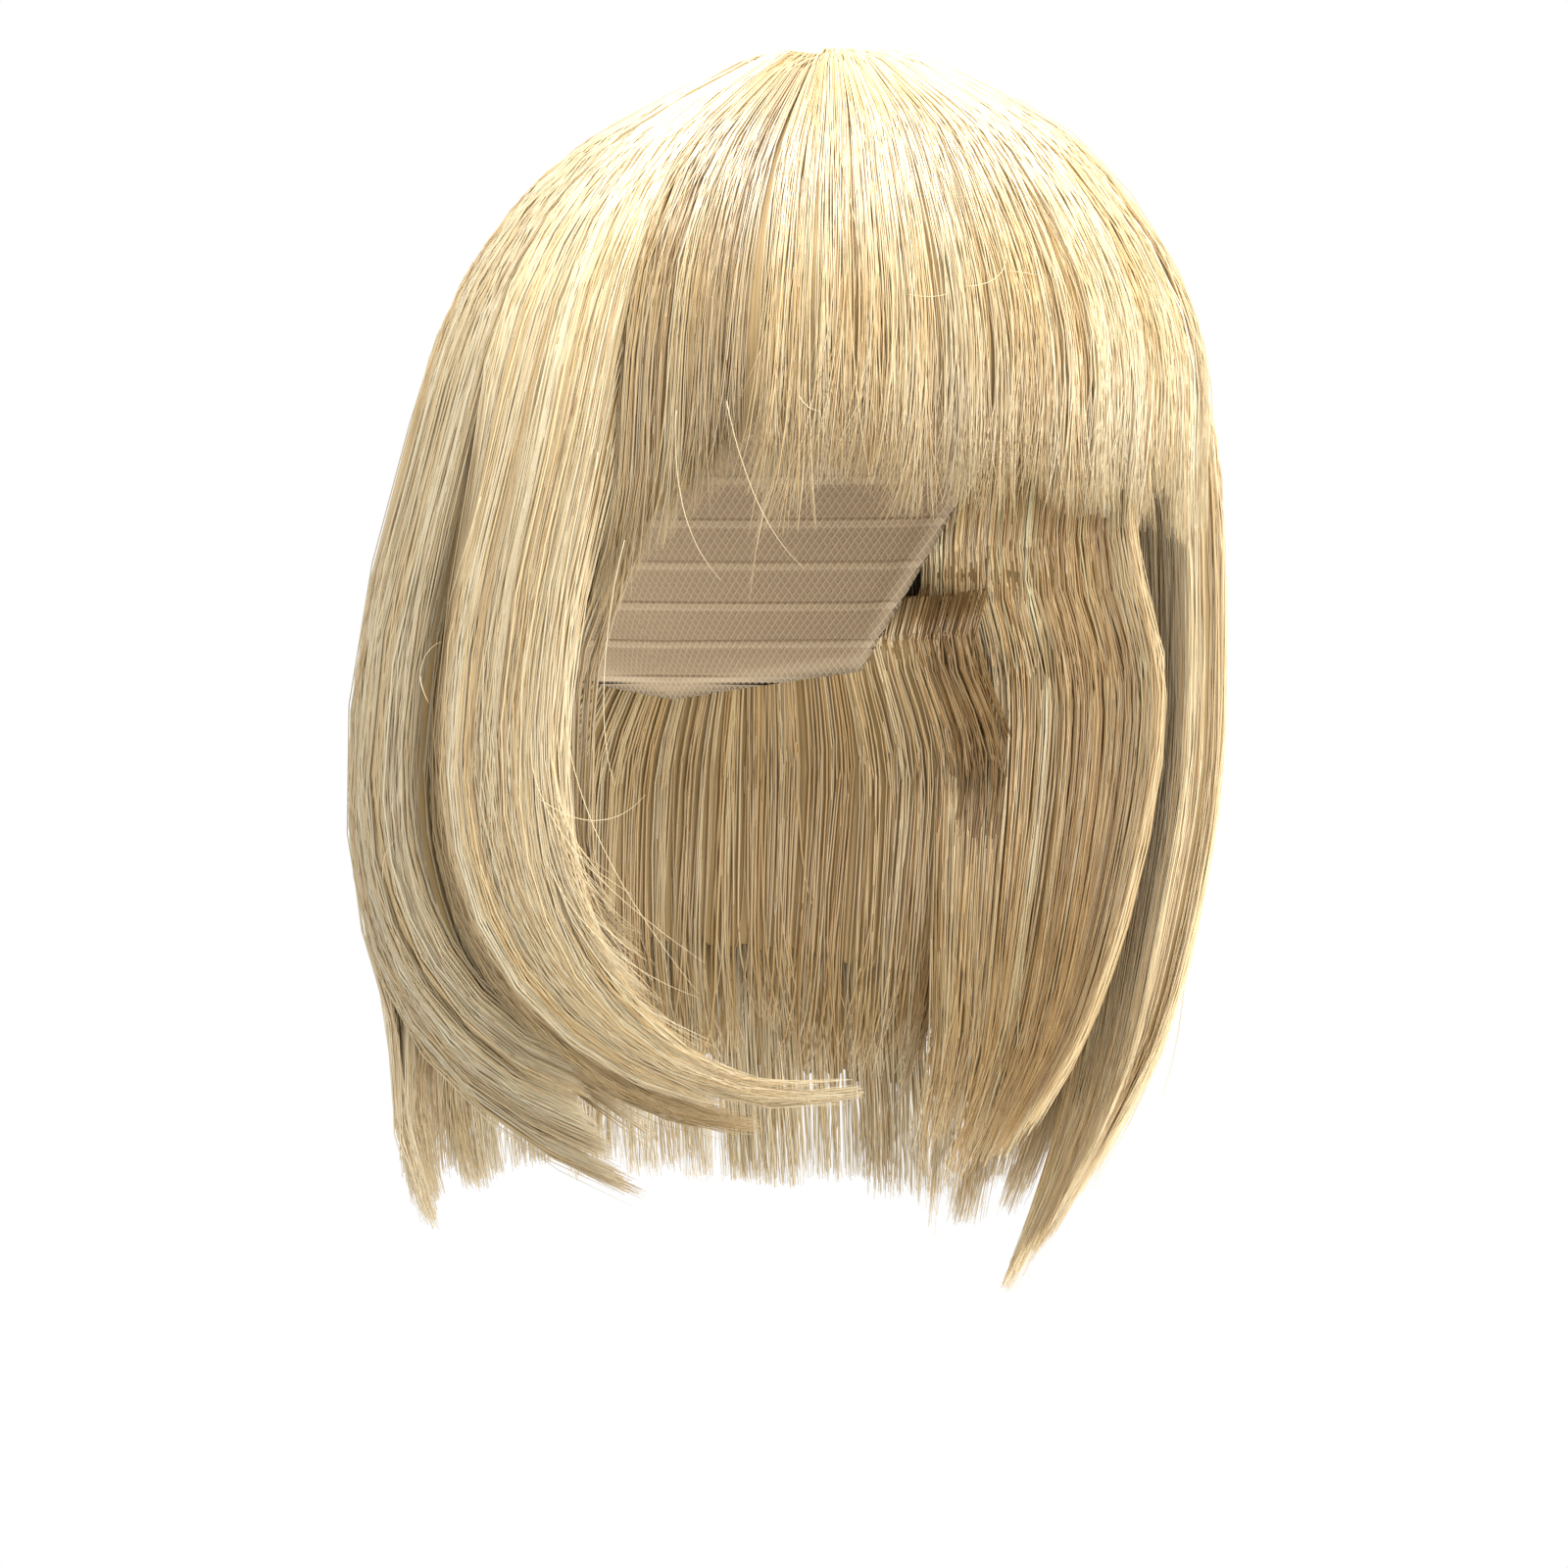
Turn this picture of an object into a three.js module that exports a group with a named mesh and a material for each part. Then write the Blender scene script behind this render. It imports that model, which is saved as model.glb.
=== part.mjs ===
// A chin-to-shoulder-length bob wig with a straight fringe, in millimetres, +Z up.
// The wearer faces -Y, the wearer's left is +X, and the origin is the top of the head, inside the cap's crown.
// The hair is a set of locks that fall from the whorl at the crown. Each lock is a closed wall with ribs on its
// outer face and a ragged end. Below the cap the locks hang free, and shorter under layers hang inside them.
import * as THREE from "three";

// The head that the cap is made for, measured inside the cap
const head_half_width = 74;
const head_front = 92;
const head_back = 91;
const head_rise = 80;
const head_fall = 100;

// The cap
const cap_wall = 1.2;
const cap_front_rim = 48;
const cap_tab_rim = 92;
const cap_ear_rim = 76;
const cap_nape_rim = 148;

// The hair as a whole
const hair_rise = 12.5;
const hair_drop = 292.5;
const hair_half_width = 108;
const hair_half_depth = 120;
const whorl_radius = 4;
const strand_length = 330;

// Fits and finish
const seat_gap = 1.1;
const lock_gap = 0.4;
const curtain_wall = 10;
const rib_depth = 2.2;
const edge_roll = 3.2;
const tip_wall = 2.4;
const tip_notch = 9;

// Level sections of the outer skin, from the whorl down. fall is a share of hair_drop below the highest hair,
// side a share of hair_half_width, deep a share of hair_half_depth, and back how far the section's middle lies
// behind the origin, as a share of hair_half_depth.
const SKIN = [
  { fall: 0.007, side: 0.0, deep: 0.0, back: -0.133 },
  { fall: 0.0, side: 0.095, deep: 0.083, back: -0.133 },
  { fall: 0.003, side: 0.199, deep: 0.175, back: -0.129 },
  { fall: 0.029, side: 0.341, deep: 0.333, back: -0.117 },
  { fall: 0.072, side: 0.53, deep: 0.565, back: -0.085 },
  { fall: 0.113, side: 0.65, deep: 0.7, back: -0.064 },
  { fall: 0.192, side: 0.79, deep: 0.86, back: -0.048 },
  { fall: 0.278, side: 0.875, deep: 0.943, back: -0.04 },
  { fall: 0.368, side: 0.929, deep: 0.975, back: -0.022 },
  { fall: 0.45, side: 0.972, deep: 0.992, back: 0.025 },
  { fall: 0.536, side: 0.995, deep: 1.0, back: 0.058 },
  { fall: 0.622, side: 1.0, deep: 0.996, back: 0.083 },
  { fall: 0.708, side: 0.976, deep: 0.967, back: 0.108 },
  { fall: 0.79, side: 0.924, deep: 0.925, back: 0.117 },
  { fall: 0.873, side: 0.825, deep: 0.846, back: 0.1 },
  { fall: 0.938, side: 0.701, deep: 0.75, back: 0.075 },
  { fall: 1.0, side: 0.569, deep: 0.65, back: 0.05 },
];

// Sweeps of hair that share one course. from and to are bearings in degrees: 0 is the front, and the wearer's left
// is positive. long is the strand's length as a share of strand_length, and slant how much more of it the edge at
// to has. curl is the share of the length past which the sweep turns sideways, by turn degrees at its tip, towards
// the front. gather is the share of its width that it loses there. flick is how far its tip stands out from the
// skin (in, if negative), as a share of hair_half_width.
const SWEEPS = {
  fringe: { from: -42, to: 42, long: 0.515, slant: 0, curl: 0.7, turn: 0, gather: 0, flick: -0.05 },
  temple_right: { from: -66, to: -42, long: 0.57, slant: -0.19, curl: 0.5, turn: 0, gather: 0, flick: -0.11 },
  temple_left: { from: 42, to: 66, long: 0.51, slant: 0.115, curl: 0.5, turn: 0, gather: 0, flick: -0.11 },
  side_right: { from: -93, to: -66, long: 1.135, slant: 0, curl: 0.56, turn: 96, gather: 0.72, flick: 0.0 },
  rear_right: { from: -125, to: -93, long: 1.1, slant: 0, curl: 0.63, turn: 80, gather: 0.2, flick: -0.06 },
  side_left: { from: 66, to: 93, long: 1.15, slant: 0, curl: 0.55, turn: 36, gather: 0.1, flick: 0.0 },
  rear_left: { from: 93, to: 125, long: 1.1, slant: 0, curl: 0.6, turn: 24, gather: 0.06, flick: -0.03 },
  back: { from: 125, to: 235, long: 1.07, slant: 0, curl: 0.86, turn: 0, gather: 0, flick: 0.2 },
  under_right: { from: -120, to: -68, long: 0.98, slant: 0, curl: 0.62, turn: 56, gather: 0.3, flick: -0.04 },
  under_left: { from: 68, to: 120, long: 1.01, slant: 0, curl: 0.6, turn: 20, gather: 0, flick: -0.04 },
  nape: { from: 120, to: 240, long: 0.98, slant: 0, curl: 0.8, turn: 0, gather: 0, flick: 0.02 },
};

// The locks. start and end are shares of their sweep's width, and ribs is the number of ribs across the lock. wall,
// its thickness where it hangs free, and inset, how far its outer face lies inside the skin, are shares of
// curtain_wall. root is the level at which it leaves the cap, as a share of cap_nape_rim, and 0 for a lock that
// starts at the whorl.
const LOCKS = [
  { name: "fringe_lock_right", sweep: "fringe", start: 0, end: 0.34, ribs: 3, wall: 0.8, inset: 0, root: 0 },
  { name: "fringe_lock_centre", sweep: "fringe", start: 0.34, end: 0.66, ribs: 3, wall: 0.8, inset: 0.06, root: 0 },
  { name: "fringe_lock_left", sweep: "fringe", start: 0.66, end: 1, ribs: 3, wall: 0.8, inset: 0, root: 0 },
  { name: "temple_lock_right", sweep: "temple_right", start: 0, end: 1, ribs: 3, wall: 0.6, inset: 0.12, root: 0 },
  { name: "temple_lock_left", sweep: "temple_left", start: 0, end: 1, ribs: 3, wall: 0.6, inset: 0.12, root: 0 },
  { name: "side_lock_right_middle", sweep: "side_right", start: 0, end: 0.54, ribs: 2, wall: 1, inset: 0.1, root: 0 },
  { name: "side_lock_right_front", sweep: "side_right", start: 0.54, end: 1, ribs: 2, wall: 1.1, inset: 0, root: 0 },
  { name: "rear_lock_right", sweep: "rear_right", start: 0, end: 1, ribs: 3, wall: 1.1, inset: 0, root: 0 },
  { name: "side_lock_left_front", sweep: "side_left", start: 0, end: 0.5, ribs: 2, wall: 1, inset: 0, root: 0 },
  { name: "side_lock_left_middle", sweep: "side_left", start: 0.5, end: 1, ribs: 2, wall: 1, inset: 0.08, root: 0 },
  { name: "rear_lock_left", sweep: "rear_left", start: 0, end: 1, ribs: 3, wall: 1, inset: 0, root: 0 },
  { name: "back_lock_left", sweep: "back", start: 0, end: 0.26, ribs: 3, wall: 1, inset: 0.05, root: 0 },
  { name: "back_lock_centre_left", sweep: "back", start: 0.26, end: 0.5, ribs: 2, wall: 1, inset: 0, root: 0 },
  { name: "back_lock_centre_right", sweep: "back", start: 0.5, end: 0.74, ribs: 2, wall: 1, inset: 0.06, root: 0 },
  { name: "back_lock_right", sweep: "back", start: 0.74, end: 1, ribs: 3, wall: 1, inset: 0, root: 0 },
  { name: "under_layer_right", sweep: "under_right", start: 0, end: 1, ribs: 4, wall: 0.45, inset: 1.4, root: 0.568 },
  { name: "under_layer_left", sweep: "under_left", start: 0, end: 1, ribs: 4, wall: 0.45, inset: 1.4, root: 0.568 },
  { name: "nape_layer", sweep: "nape", start: 0, end: 1, ribs: 8, wall: 0.5, inset: 1.5, root: 0.757 },
];

// By bearing from the front, the same on both sides: the cap's own rim, as a drop below the top of the head, and the
// level at which a lock leaves the cap and starts to hang free, as a share of cap_nape_rim.
const LEAVES = [
  { bearing: 0, rim: cap_front_rim, release: 0.23 },
  { bearing: 42, rim: cap_front_rim * 1.08, release: 0.243 },
  { bearing: 66, rim: cap_tab_rim, release: 0.351 },
  { bearing: 78, rim: cap_tab_rim, release: 0.392 },
  { bearing: 96, rim: cap_ear_rim, release: 0.392 },
  { bearing: 112, rim: cap_ear_rim * 1.18, release: 0.446 },
  { bearing: 132, rim: cap_nape_rim * 0.95, release: 0.568 },
  { bearing: 180, rim: cap_nape_rim, release: 0.595 },
];
const release_run = 20;

const columns_per_rib = 3;
const row_run = 20;
const cap_columns = 44;
const cap_rows = 8;
const course_steps = 160;

const HAIR_FINISH = { color: 0xd9c49a, roughness: 0.46, metalness: 0 };
const SHADED_FINISH = { color: 0xb89a6c, roughness: 0.55, metalness: 0 };
const CAP_FINISH = { color: 0xcbb491, roughness: 0.85, metalness: 0 };

const radians = (degrees) => (degrees * Math.PI) / 180;
const clamp = (value, low, high) => Math.min(Math.max(value, low), high);
const mix = (a, b, share) => a + (b - a) * share;
const smooth = (share) => {
  const s = clamp(share, 0, 1);
  return s * s * (3 - 2 * s);
};

// A table read at one value of its first column, by straight lines between rows.
function readTable(rows, key, column, value) {
  if (value <= rows[0][key]) return rows[0][column];
  for (let i = 1; i < rows.length; i += 1) {
    if (value <= rows[i][key]) {
      const share = (value - rows[i - 1][key]) / (rows[i][key] - rows[i - 1][key]);
      return mix(rows[i - 1][column], rows[i][column], share);
    }
  }
  return rows[rows.length - 1][column];
}

// The bearing folded to the range from the front, 0, to the back, 180.
function fromFront(bearing) {
  const turned = Math.abs(((bearing % 360) + 360) % 360);
  return turned > 180 ? 360 - turned : turned;
}

// One row of the skin's table as a point at a bearing.
function sectionPoint(row, bearing) {
  const angle = radians(bearing);
  return new THREE.Vector3(
    row.side * hair_half_width * Math.sin(angle),
    row.back * hair_half_depth - row.deep * hair_half_depth * Math.cos(angle),
    hair_rise - row.fall * hair_drop,
  );
}

const profile_splits = 4;

// The skin's profile at a bearing: a smooth line through the table's rows, with its length so far at each point.
function skinProfile(bearing) {
  const curve = new THREE.CatmullRomCurve3(SKIN.map((row) => sectionPoint(row, bearing)), false, "centripetal");
  const points = [];
  const runs = [];
  const last = (SKIN.length - 1) * profile_splits;
  for (let i = 0; i <= last; i += 1) {
    points.push(curve.getPoint(i / last));
    runs.push(i === 0 ? 0 : runs[i - 1] + points[i].distanceTo(points[i - 1]));
  }
  return { points, runs };
}

const profiles = new Map();
const profile_grain = 0.25;

function profileNear(bearing) {
  const key = Math.round(bearing / profile_grain);
  if (!profiles.has(key)) profiles.set(key, skinProfile(key * profile_grain));
  return profiles.get(key);
}

function alongProfile(profile, run) {
  const { points, runs } = profile;
  const last = runs.length - 1;
  let i = 1;
  while (i < last && runs[i] < run) i += 1;
  const share = (run - runs[i - 1]) / (runs[i] - runs[i - 1]);
  return points[i - 1].clone().lerp(points[i], share);
}

// A point of the skin: the bearing, and the run down from the whorl.
function skinPoint(bearing, run) {
  const grid = bearing / profile_grain;
  const low = Math.floor(grid);
  const near = alongProfile(profileNear(low * profile_grain), run);
  return near.lerp(alongProfile(profileNear((low + 1) * profile_grain), run), grid - low);
}

const probe = 1.5;

// The skin at a point, with its outward normal and the length of one radian of bearing there.
function skinFrame(bearing, run) {
  const point = skinPoint(bearing, run);
  const turn = 2;
  const across = skinPoint(bearing + turn, run).sub(skinPoint(bearing - turn, run));
  const down = skinPoint(bearing, run + probe).sub(skinPoint(bearing, Math.max(run - probe, 0.5)));
  const reach = across.length() / radians(2 * turn);
  const normal = down.clone().cross(across).normalize();
  return { point, normal, reach };
}

// The run from the whorl at which the skin has dropped to a level.
function runAtDrop(bearing, drop) {
  const { points, runs } = profileNear(bearing);
  let i = 8;
  while (i < points.length - 1 && points[i].z > -drop) i += 1;
  const share = (points[i - 1].z + drop) / (points[i - 1].z - points[i].z);
  return mix(runs[i - 1], runs[i], clamp(share, 0, 1));
}

// How far a point lies from the head's middle, as a share of the head's surface grown by some thickness.
function headShare(point, grown) {
  const along = point.y < 0 ? head_front : head_back;
  const upright = point.z > -head_rise ? head_rise : head_fall;
  return Math.hypot(
    point.x / (head_half_width + grown),
    point.y / (along + grown),
    (point.z + head_rise) / (upright + grown),
  );
}

const reach_limit = 45;

// How far in from a point on the skin the cap's outside lies, with the seat's gap, along the skin's normal.
function depthToCap(point, normal) {
  const seat = cap_wall + seat_gap;
  let near = 0;
  let far = reach_limit;
  if (headShare(point.clone().addScaledVector(normal, -far), seat) > 1) return reach_limit;
  for (let i = 0; i < 24; i += 1) {
    const half = (near + far) / 2;
    if (headShare(point.clone().addScaledVector(normal, -half), seat) > 1) near = half;
    else far = half;
  }
  return near;
}

// The middle line of a sweep: bearing, run down the skin and heading at each step of its length. A heading of 0
// is straight down the skin, and a positive one leans to the wearer's left.
function sweepCourse(sweep) {
  const middle = (sweep.from + sweep.to) / 2;
  const length = sweep.long * strand_length;
  const step = length / course_steps;
  const lean = middle > 0 ? -1 : 1;
  const course = [];
  let bearing = middle;
  let run = 0;
  for (let i = 0; i <= course_steps * 1.15; i += 1) {
    const past = clamp((i / course_steps - sweep.curl) / (1 - sweep.curl), 0, 1.1);
    const heading = lean * radians(sweep.turn) * past ** 1.4;
    course.push({ bearing, run, heading });
    const reach = skinFrame(bearing, Math.max(run, 2)).reach;
    bearing += ((Math.sin(heading) * step) / reach) * (180 / Math.PI);
    run += Math.cos(heading) * step;
  }
  return { course, step, length, middle };
}

function courseAt(path, along) {
  const place = clamp(along / path.step, 0, path.course.length - 1.001);
  const i = Math.floor(place);
  const [a, b] = [path.course[i], path.course[i + 1]];
  return {
    bearing: mix(a.bearing, b.bearing, place - i),
    run: mix(a.run, b.run, place - i),
    heading: mix(a.heading, b.heading, place - i),
  };
}

// A closed mesh between an outer and an inner grid of points.
function shell(name, outer, inner, finish) {
  const rows = outer.length;
  const columns = outer[0].length;
  const points = [...outer.flat(), ...inner.flat()];
  const at = (side, row, column) => side * rows * columns + row * columns + column;
  const faces = [];
  const quad = (a, b, c, d) => {
    const flat = points[a].distanceToSquared(points[c]) <= points[b].distanceToSquared(points[d]);
    if (flat) faces.push([a, b, c], [a, c, d]);
    else faces.push([a, b, d], [b, c, d]);
  };
  for (let row = 0; row < rows - 1; row += 1) {
    for (let column = 0; column < columns - 1; column += 1) {
      quad(at(0, row, column), at(0, row + 1, column), at(0, row + 1, column + 1), at(0, row, column + 1));
      quad(at(1, row, column), at(1, row, column + 1), at(1, row + 1, column + 1), at(1, row + 1, column));
    }
    quad(at(0, row, 0), at(1, row, 0), at(1, row + 1, 0), at(0, row + 1, 0));
    const edge = columns - 1;
    quad(at(0, row, edge), at(0, row + 1, edge), at(1, row + 1, edge), at(1, row, edge));
  }
  for (let column = 0; column < columns - 1; column += 1) {
    const tip = rows - 1;
    quad(at(0, 0, column), at(0, 0, column + 1), at(1, 0, column + 1), at(1, 0, column));
    quad(at(0, tip, column), at(1, tip, column), at(1, tip, column + 1), at(0, tip, column + 1));
  }
  return closedMesh(name, points, faces, finish);
}

// A named mesh whose faces look outward.
function closedMesh(name, points, faces, finish) {
  let volume = 0;
  for (const [a, b, c] of faces) volume += points[a].dot(points[b].clone().cross(points[c]));
  const indices = faces.flatMap(([a, b, c]) => (volume < 0 ? [a, c, b] : [a, b, c]));
  const geometry = new THREE.BufferGeometry();
  geometry.setAttribute("position", new THREE.Float32BufferAttribute(points.flatMap((p) => [p.x, p.y, p.z]), 3));
  geometry.setIndex(indices);
  geometry.computeVertexNormals();
  const mesh = new THREE.Mesh(geometry, new THREE.MeshStandardMaterial(finish));
  mesh.name = name;
  return mesh;
}

// One lock, or one under layer, of the hair.
function hairLock(lock, finish) {
  const sweep = SWEEPS[lock.sweep];
  const path = sweepCourse(sweep);
  const wall_free = lock.wall * curtain_wall;
  const set_in = lock.inset * curtain_wall;
  const root_drop = lock.root * cap_nape_rim;
  const columns = lock.ribs * (lock.root > 0 ? columns_per_rib - 1 : columns_per_rib);
  const rows = Math.round((path.length - root_drop * 1.4) / row_run);
  const outer = [];
  const inner = [];
  for (let row = 0; row <= rows; row += 1) {
    const outer_row = [];
    const inner_row = [];
    for (let column = 0; column <= columns; column += 1) {
      const place = column / columns;
      const share = mix(lock.start, lock.end, place);
      const rib = Math.abs(Math.sin(Math.PI * lock.ribs * place));
      const long = path.length * (1 + sweep.slant * share) - tip_notch * (1 - rib);
      const first = lock.root > 0 ? runAtDrop(mix(sweep.from, sweep.to, share), root_drop) : whorl_radius;
      const along = mix(first, long, row / rows);
      const { bearing, run, heading } = courseAt(path, along);
      const reach = skinFrame(bearing, run).reach;
      const late = smooth((along / path.length - sweep.curl) / (1 - sweep.curl));
      const span = radians(sweep.to - sweep.from) * reach * (1 - sweep.gather * late * late);
      const start = (lock.start - 0.5) * span + lock_gap / 2;
      const end = (lock.end - 0.5) * span - lock_gap / 2;
      const offset = mix(start, end, place);
      const side = bearing + (offset * Math.cos(heading) * 180) / Math.PI / reach;
      const down = run - offset * Math.sin(heading);
      const { point, normal } = skinFrame(side, down);
      const depth = depthToCap(point, normal);
      const release = readTable(LEAVES, "bearing", "release", fromFront(side)) * cap_nape_rim;
      const free = smooth((-point.z - release) / release_run);
      const rolled = smooth(along / 70);
      const edge = Math.max(1 - Math.min(place, 1 - place) * lock.ribs * 2, 0);
      const ribbed = rolled * (rib_depth * (1 - rib) * (1 - 0.3 * edge) + edge_roll * edge * 0.6);
      const flick = sweep.flick * hair_half_width * late ** 1.3;
      const hung = mix(wall_free, tip_wall, smooth((along / path.length - 0.72) / 0.28));
      if (lock.root > 0) {
        const settled = smooth((along - first) / 60);
        const face = Math.min(mix(depth - wall_free, set_in, settled) - flick, depth - hung);
        outer_row.push(point.clone().addScaledVector(normal, -face - Math.min(ribbed * 0.6, hung * 0.5)));
        inner_row.push(point.clone().addScaledVector(normal, -face - hung));
      } else {
        const wall = Math.min(mix(depth, set_in + hung, free) - flick, depth);
        const face = Math.min(set_in - flick, wall - tip_wall);
        outer_row.push(point.clone().addScaledVector(normal, -face - Math.min(ribbed, (wall - face) * 0.45)));
        inner_row.push(point.clone().addScaledVector(normal, -wall));
      }
    }
    outer.push(outer_row);
    inner.push(inner_row);
  }
  return shell(lock.name, outer, inner, finish);
}

// A point of the head's surface grown by some thickness, at a bearing and a drop below the top of the head.
function headPoint(bearing, drop, grown) {
  const angle = radians(bearing);
  const along = Math.cos(angle) > 0 ? head_front : head_back;
  const upright = drop < head_rise ? head_rise + grown : head_fall + grown;
  const level = (drop - head_rise) / upright;
  const share = Math.sqrt(Math.max(1 - level * level, 0));
  return new THREE.Vector3(
    (head_half_width + grown) * share * Math.sin(angle),
    -(along + grown) * share * Math.cos(angle),
    -drop,
  );
}

// The cap: a thin dome with its rim cut to the forehead, the ear tabs and the nape.
function capShell() {
  const points = [new THREE.Vector3(0, 0, cap_wall), new THREE.Vector3(0, 0, 0)];
  const faces = [];
  const at = (side, row, column) => 2 + (side * cap_rows + row) * cap_columns + (column % cap_columns);
  for (const grown of [cap_wall, 0]) {
    for (let row = 1; row <= cap_rows; row += 1) {
      for (let column = 0; column < cap_columns; column += 1) {
        const bearing = (360 * column) / cap_columns;
        const rim = readTable(LEAVES, "bearing", "rim", fromFront(bearing));
        const share = row / cap_rows;
        const swing = Math.acos(1 - Math.min(rim, head_rise) / head_rise);
        const drop = rim <= head_rise
          ? head_rise * (1 - Math.cos(swing * share)) * 1
          : rim * (1 - Math.cos((Math.PI / 2) * share));
        points.push(headPoint(bearing, drop - grown * (1 - share), grown));
      }
    }
  }
  for (let column = 0; column < cap_columns; column += 1) {
    faces.push([0, at(0, 0, column), at(0, 0, column + 1)]);
    faces.push([1, at(1, 0, column + 1), at(1, 0, column)]);
    for (let row = 0; row < cap_rows - 1; row += 1) {
      const [a, b] = [at(0, row, column), at(0, row, column + 1)];
      const [c, d] = [at(0, row + 1, column), at(0, row + 1, column + 1)];
      faces.push([a, c, d], [a, d, b]);
      const [e, f] = [at(1, row, column), at(1, row, column + 1)];
      const [g, h] = [at(1, row + 1, column), at(1, row + 1, column + 1)];
      faces.push([e, h, g], [e, f, h]);
    }
    const rim = cap_rows - 1;
    const [a, b] = [at(0, rim, column), at(0, rim, column + 1)];
    const [c, d] = [at(1, rim, column), at(1, rim, column + 1)];
    faces.push([a, c, d], [a, d, b]);
  }
  return closedMesh("cap", points, faces, CAP_FINISH);
}

const wig = new THREE.Group();
wig.add(capShell());
for (const lock of LOCKS) {
  wig.add(hairLock(lock, lock.root > 0 ? SHADED_FINISH : HAIR_FINISH));
}

export default wig;
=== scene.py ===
"""A blonde bob wig with a straight fringe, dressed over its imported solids.

Each lock of hair is a smooth body that replaces its plain solid, with separate strands groomed over it.
Both follow the skin and the sweeps of the solids. Lengths are in millimetres until a mesh is made.
"""
import logging
import math
from dataclasses import dataclass, replace
from enum import Enum

import bmesh
import bpy
import numpy as np
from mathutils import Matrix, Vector


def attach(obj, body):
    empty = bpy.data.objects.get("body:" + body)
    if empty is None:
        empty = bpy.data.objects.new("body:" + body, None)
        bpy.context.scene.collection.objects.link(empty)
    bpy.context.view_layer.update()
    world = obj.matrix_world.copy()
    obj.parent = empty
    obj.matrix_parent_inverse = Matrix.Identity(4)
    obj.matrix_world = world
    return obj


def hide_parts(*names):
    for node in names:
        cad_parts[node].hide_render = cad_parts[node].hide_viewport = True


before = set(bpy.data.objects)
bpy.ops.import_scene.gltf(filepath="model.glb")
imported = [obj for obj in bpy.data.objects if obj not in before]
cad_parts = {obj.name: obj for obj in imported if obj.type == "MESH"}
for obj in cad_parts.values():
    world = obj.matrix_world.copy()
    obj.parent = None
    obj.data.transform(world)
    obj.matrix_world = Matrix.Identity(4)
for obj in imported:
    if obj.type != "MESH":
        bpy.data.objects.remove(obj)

logger = logging.getLogger("wig")
MM = 0.001
SEED = 27
TINY = 1e-9

Array = np.ndarray


def smooth(share: Array) -> Array:
    """An even step from 0 to 1, for shares that are held within that range."""
    held = np.clip(share, 0.0, 1.0)
    return held * held * (3 - 2 * held)


def mix(a: Array, b: Array, share: Array) -> Array:
    """The value at a share of the way from a to b."""
    return a + (b - a) * share


def unit(vectors: Array) -> Array:
    """Vectors brought to a length of 1."""
    return vectors / np.maximum(np.linalg.norm(vectors, axis=-1, keepdims=True), TINY)


def report(piece: bpy.types.Object) -> None:
    """Reports a finished piece and its triangles."""
    logger.info("%s: %d triangles", piece.name, sum(len(face.vertices) - 2 for face in piece.data.polygons))


@dataclass(frozen=True)
class HeadSizes:
    """The head that the cap fits, and the cap on it, in millimetres."""

    half_width: float = 74
    front: float = 92
    back: float = 91
    rise: float = 80
    fall: float = 100
    cap_wall: float = 1.2
    seat_gap: float = 1.1
    front_rim: float = 48
    tab_rim: float = 92
    ear_rim: float = 76
    nape_rim: float = 148

    stops = (0, 42, 66, 78, 96, 112, 132, 180)
    releases = (0.23, 0.243, 0.351, 0.392, 0.392, 0.446, 0.568, 0.595)

    def share(self, points: Array, grown: float) -> Array:
        """How far points lie from the head's middle, as a share of its surface grown by some thickness.

        Args:
            points: Points, with x, y and z last.
            grown: The thickness that the head is grown by.

        Returns:
            The shares: 1 on the surface, and more outside it.
        """
        x, y, z = points[..., 0], points[..., 1], points[..., 2]
        along = np.where(y < 0, self.front, self.back) + grown
        upright = np.where(z > -self.rise, self.rise, self.fall) + grown
        across = x / (self.half_width + grown)
        return np.sqrt(across**2 + (y / along) ** 2 + ((z + self.rise) / upright) ** 2)

    def rim(self, bearing: Array) -> Array:
        """The cap's rim at each bearing.

        Args:
            bearing: Degrees from the front, either side.

        Returns:
            The rim's drop below the top of the head.
        """
        drops = [self.front_rim, self.front_rim * 1.08, self.tab_rim, self.tab_rim, self.ear_rim,
                 self.ear_rim * 1.18, self.nape_rim * 0.95, self.nape_rim]
        return np.interp(from_front(bearing), self.stops, drops)

    def release(self, bearing: Array) -> Array:
        """The drop below the top of the head at which a lock leaves the cap and hangs free."""
        return np.interp(from_front(bearing), self.stops, self.releases) * self.nape_rim

    def point(self, bearing: Array, drop: Array, grown: float) -> Array:
        """Points of the head's surface grown by some thickness.

        Args:
            bearing: Degrees from the front.
            drop: Drops below the top of the head.
            grown: The thickness that the head is grown by.

        Returns:
            The points.
        """
        angle = np.radians(bearing)
        along = np.where(np.cos(angle) > 0, self.front, self.back) + grown
        upright = np.where(drop < self.rise, self.rise, self.fall) + grown
        share = np.sqrt(np.maximum(1 - ((drop - self.rise) / upright) ** 2, 0))
        return np.stack([(self.half_width + grown) * share * np.sin(angle), -along * share * np.cos(angle),
                         -drop + 0 * share], -1)


def from_front(bearing: Array) -> Array:
    """Folds bearings in degrees to the range from the front, 0, to the back, 180."""
    turned = np.mod(bearing, 360)
    return np.where(turned > 180, 360 - turned, turned)


@dataclass(frozen=True)
class HairSizes:
    """The hair as a whole, in millimetres."""

    rise: float = 12.5
    drop: float = 292.5
    half_width: float = 108
    half_depth: float = 120
    whorl_radius: float = 4
    strand_length: float = 330
    curtain_wall: float = 10
    tip_wall: float = 2.4


HEAD = HeadSizes()
HAIR = HairSizes()

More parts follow.
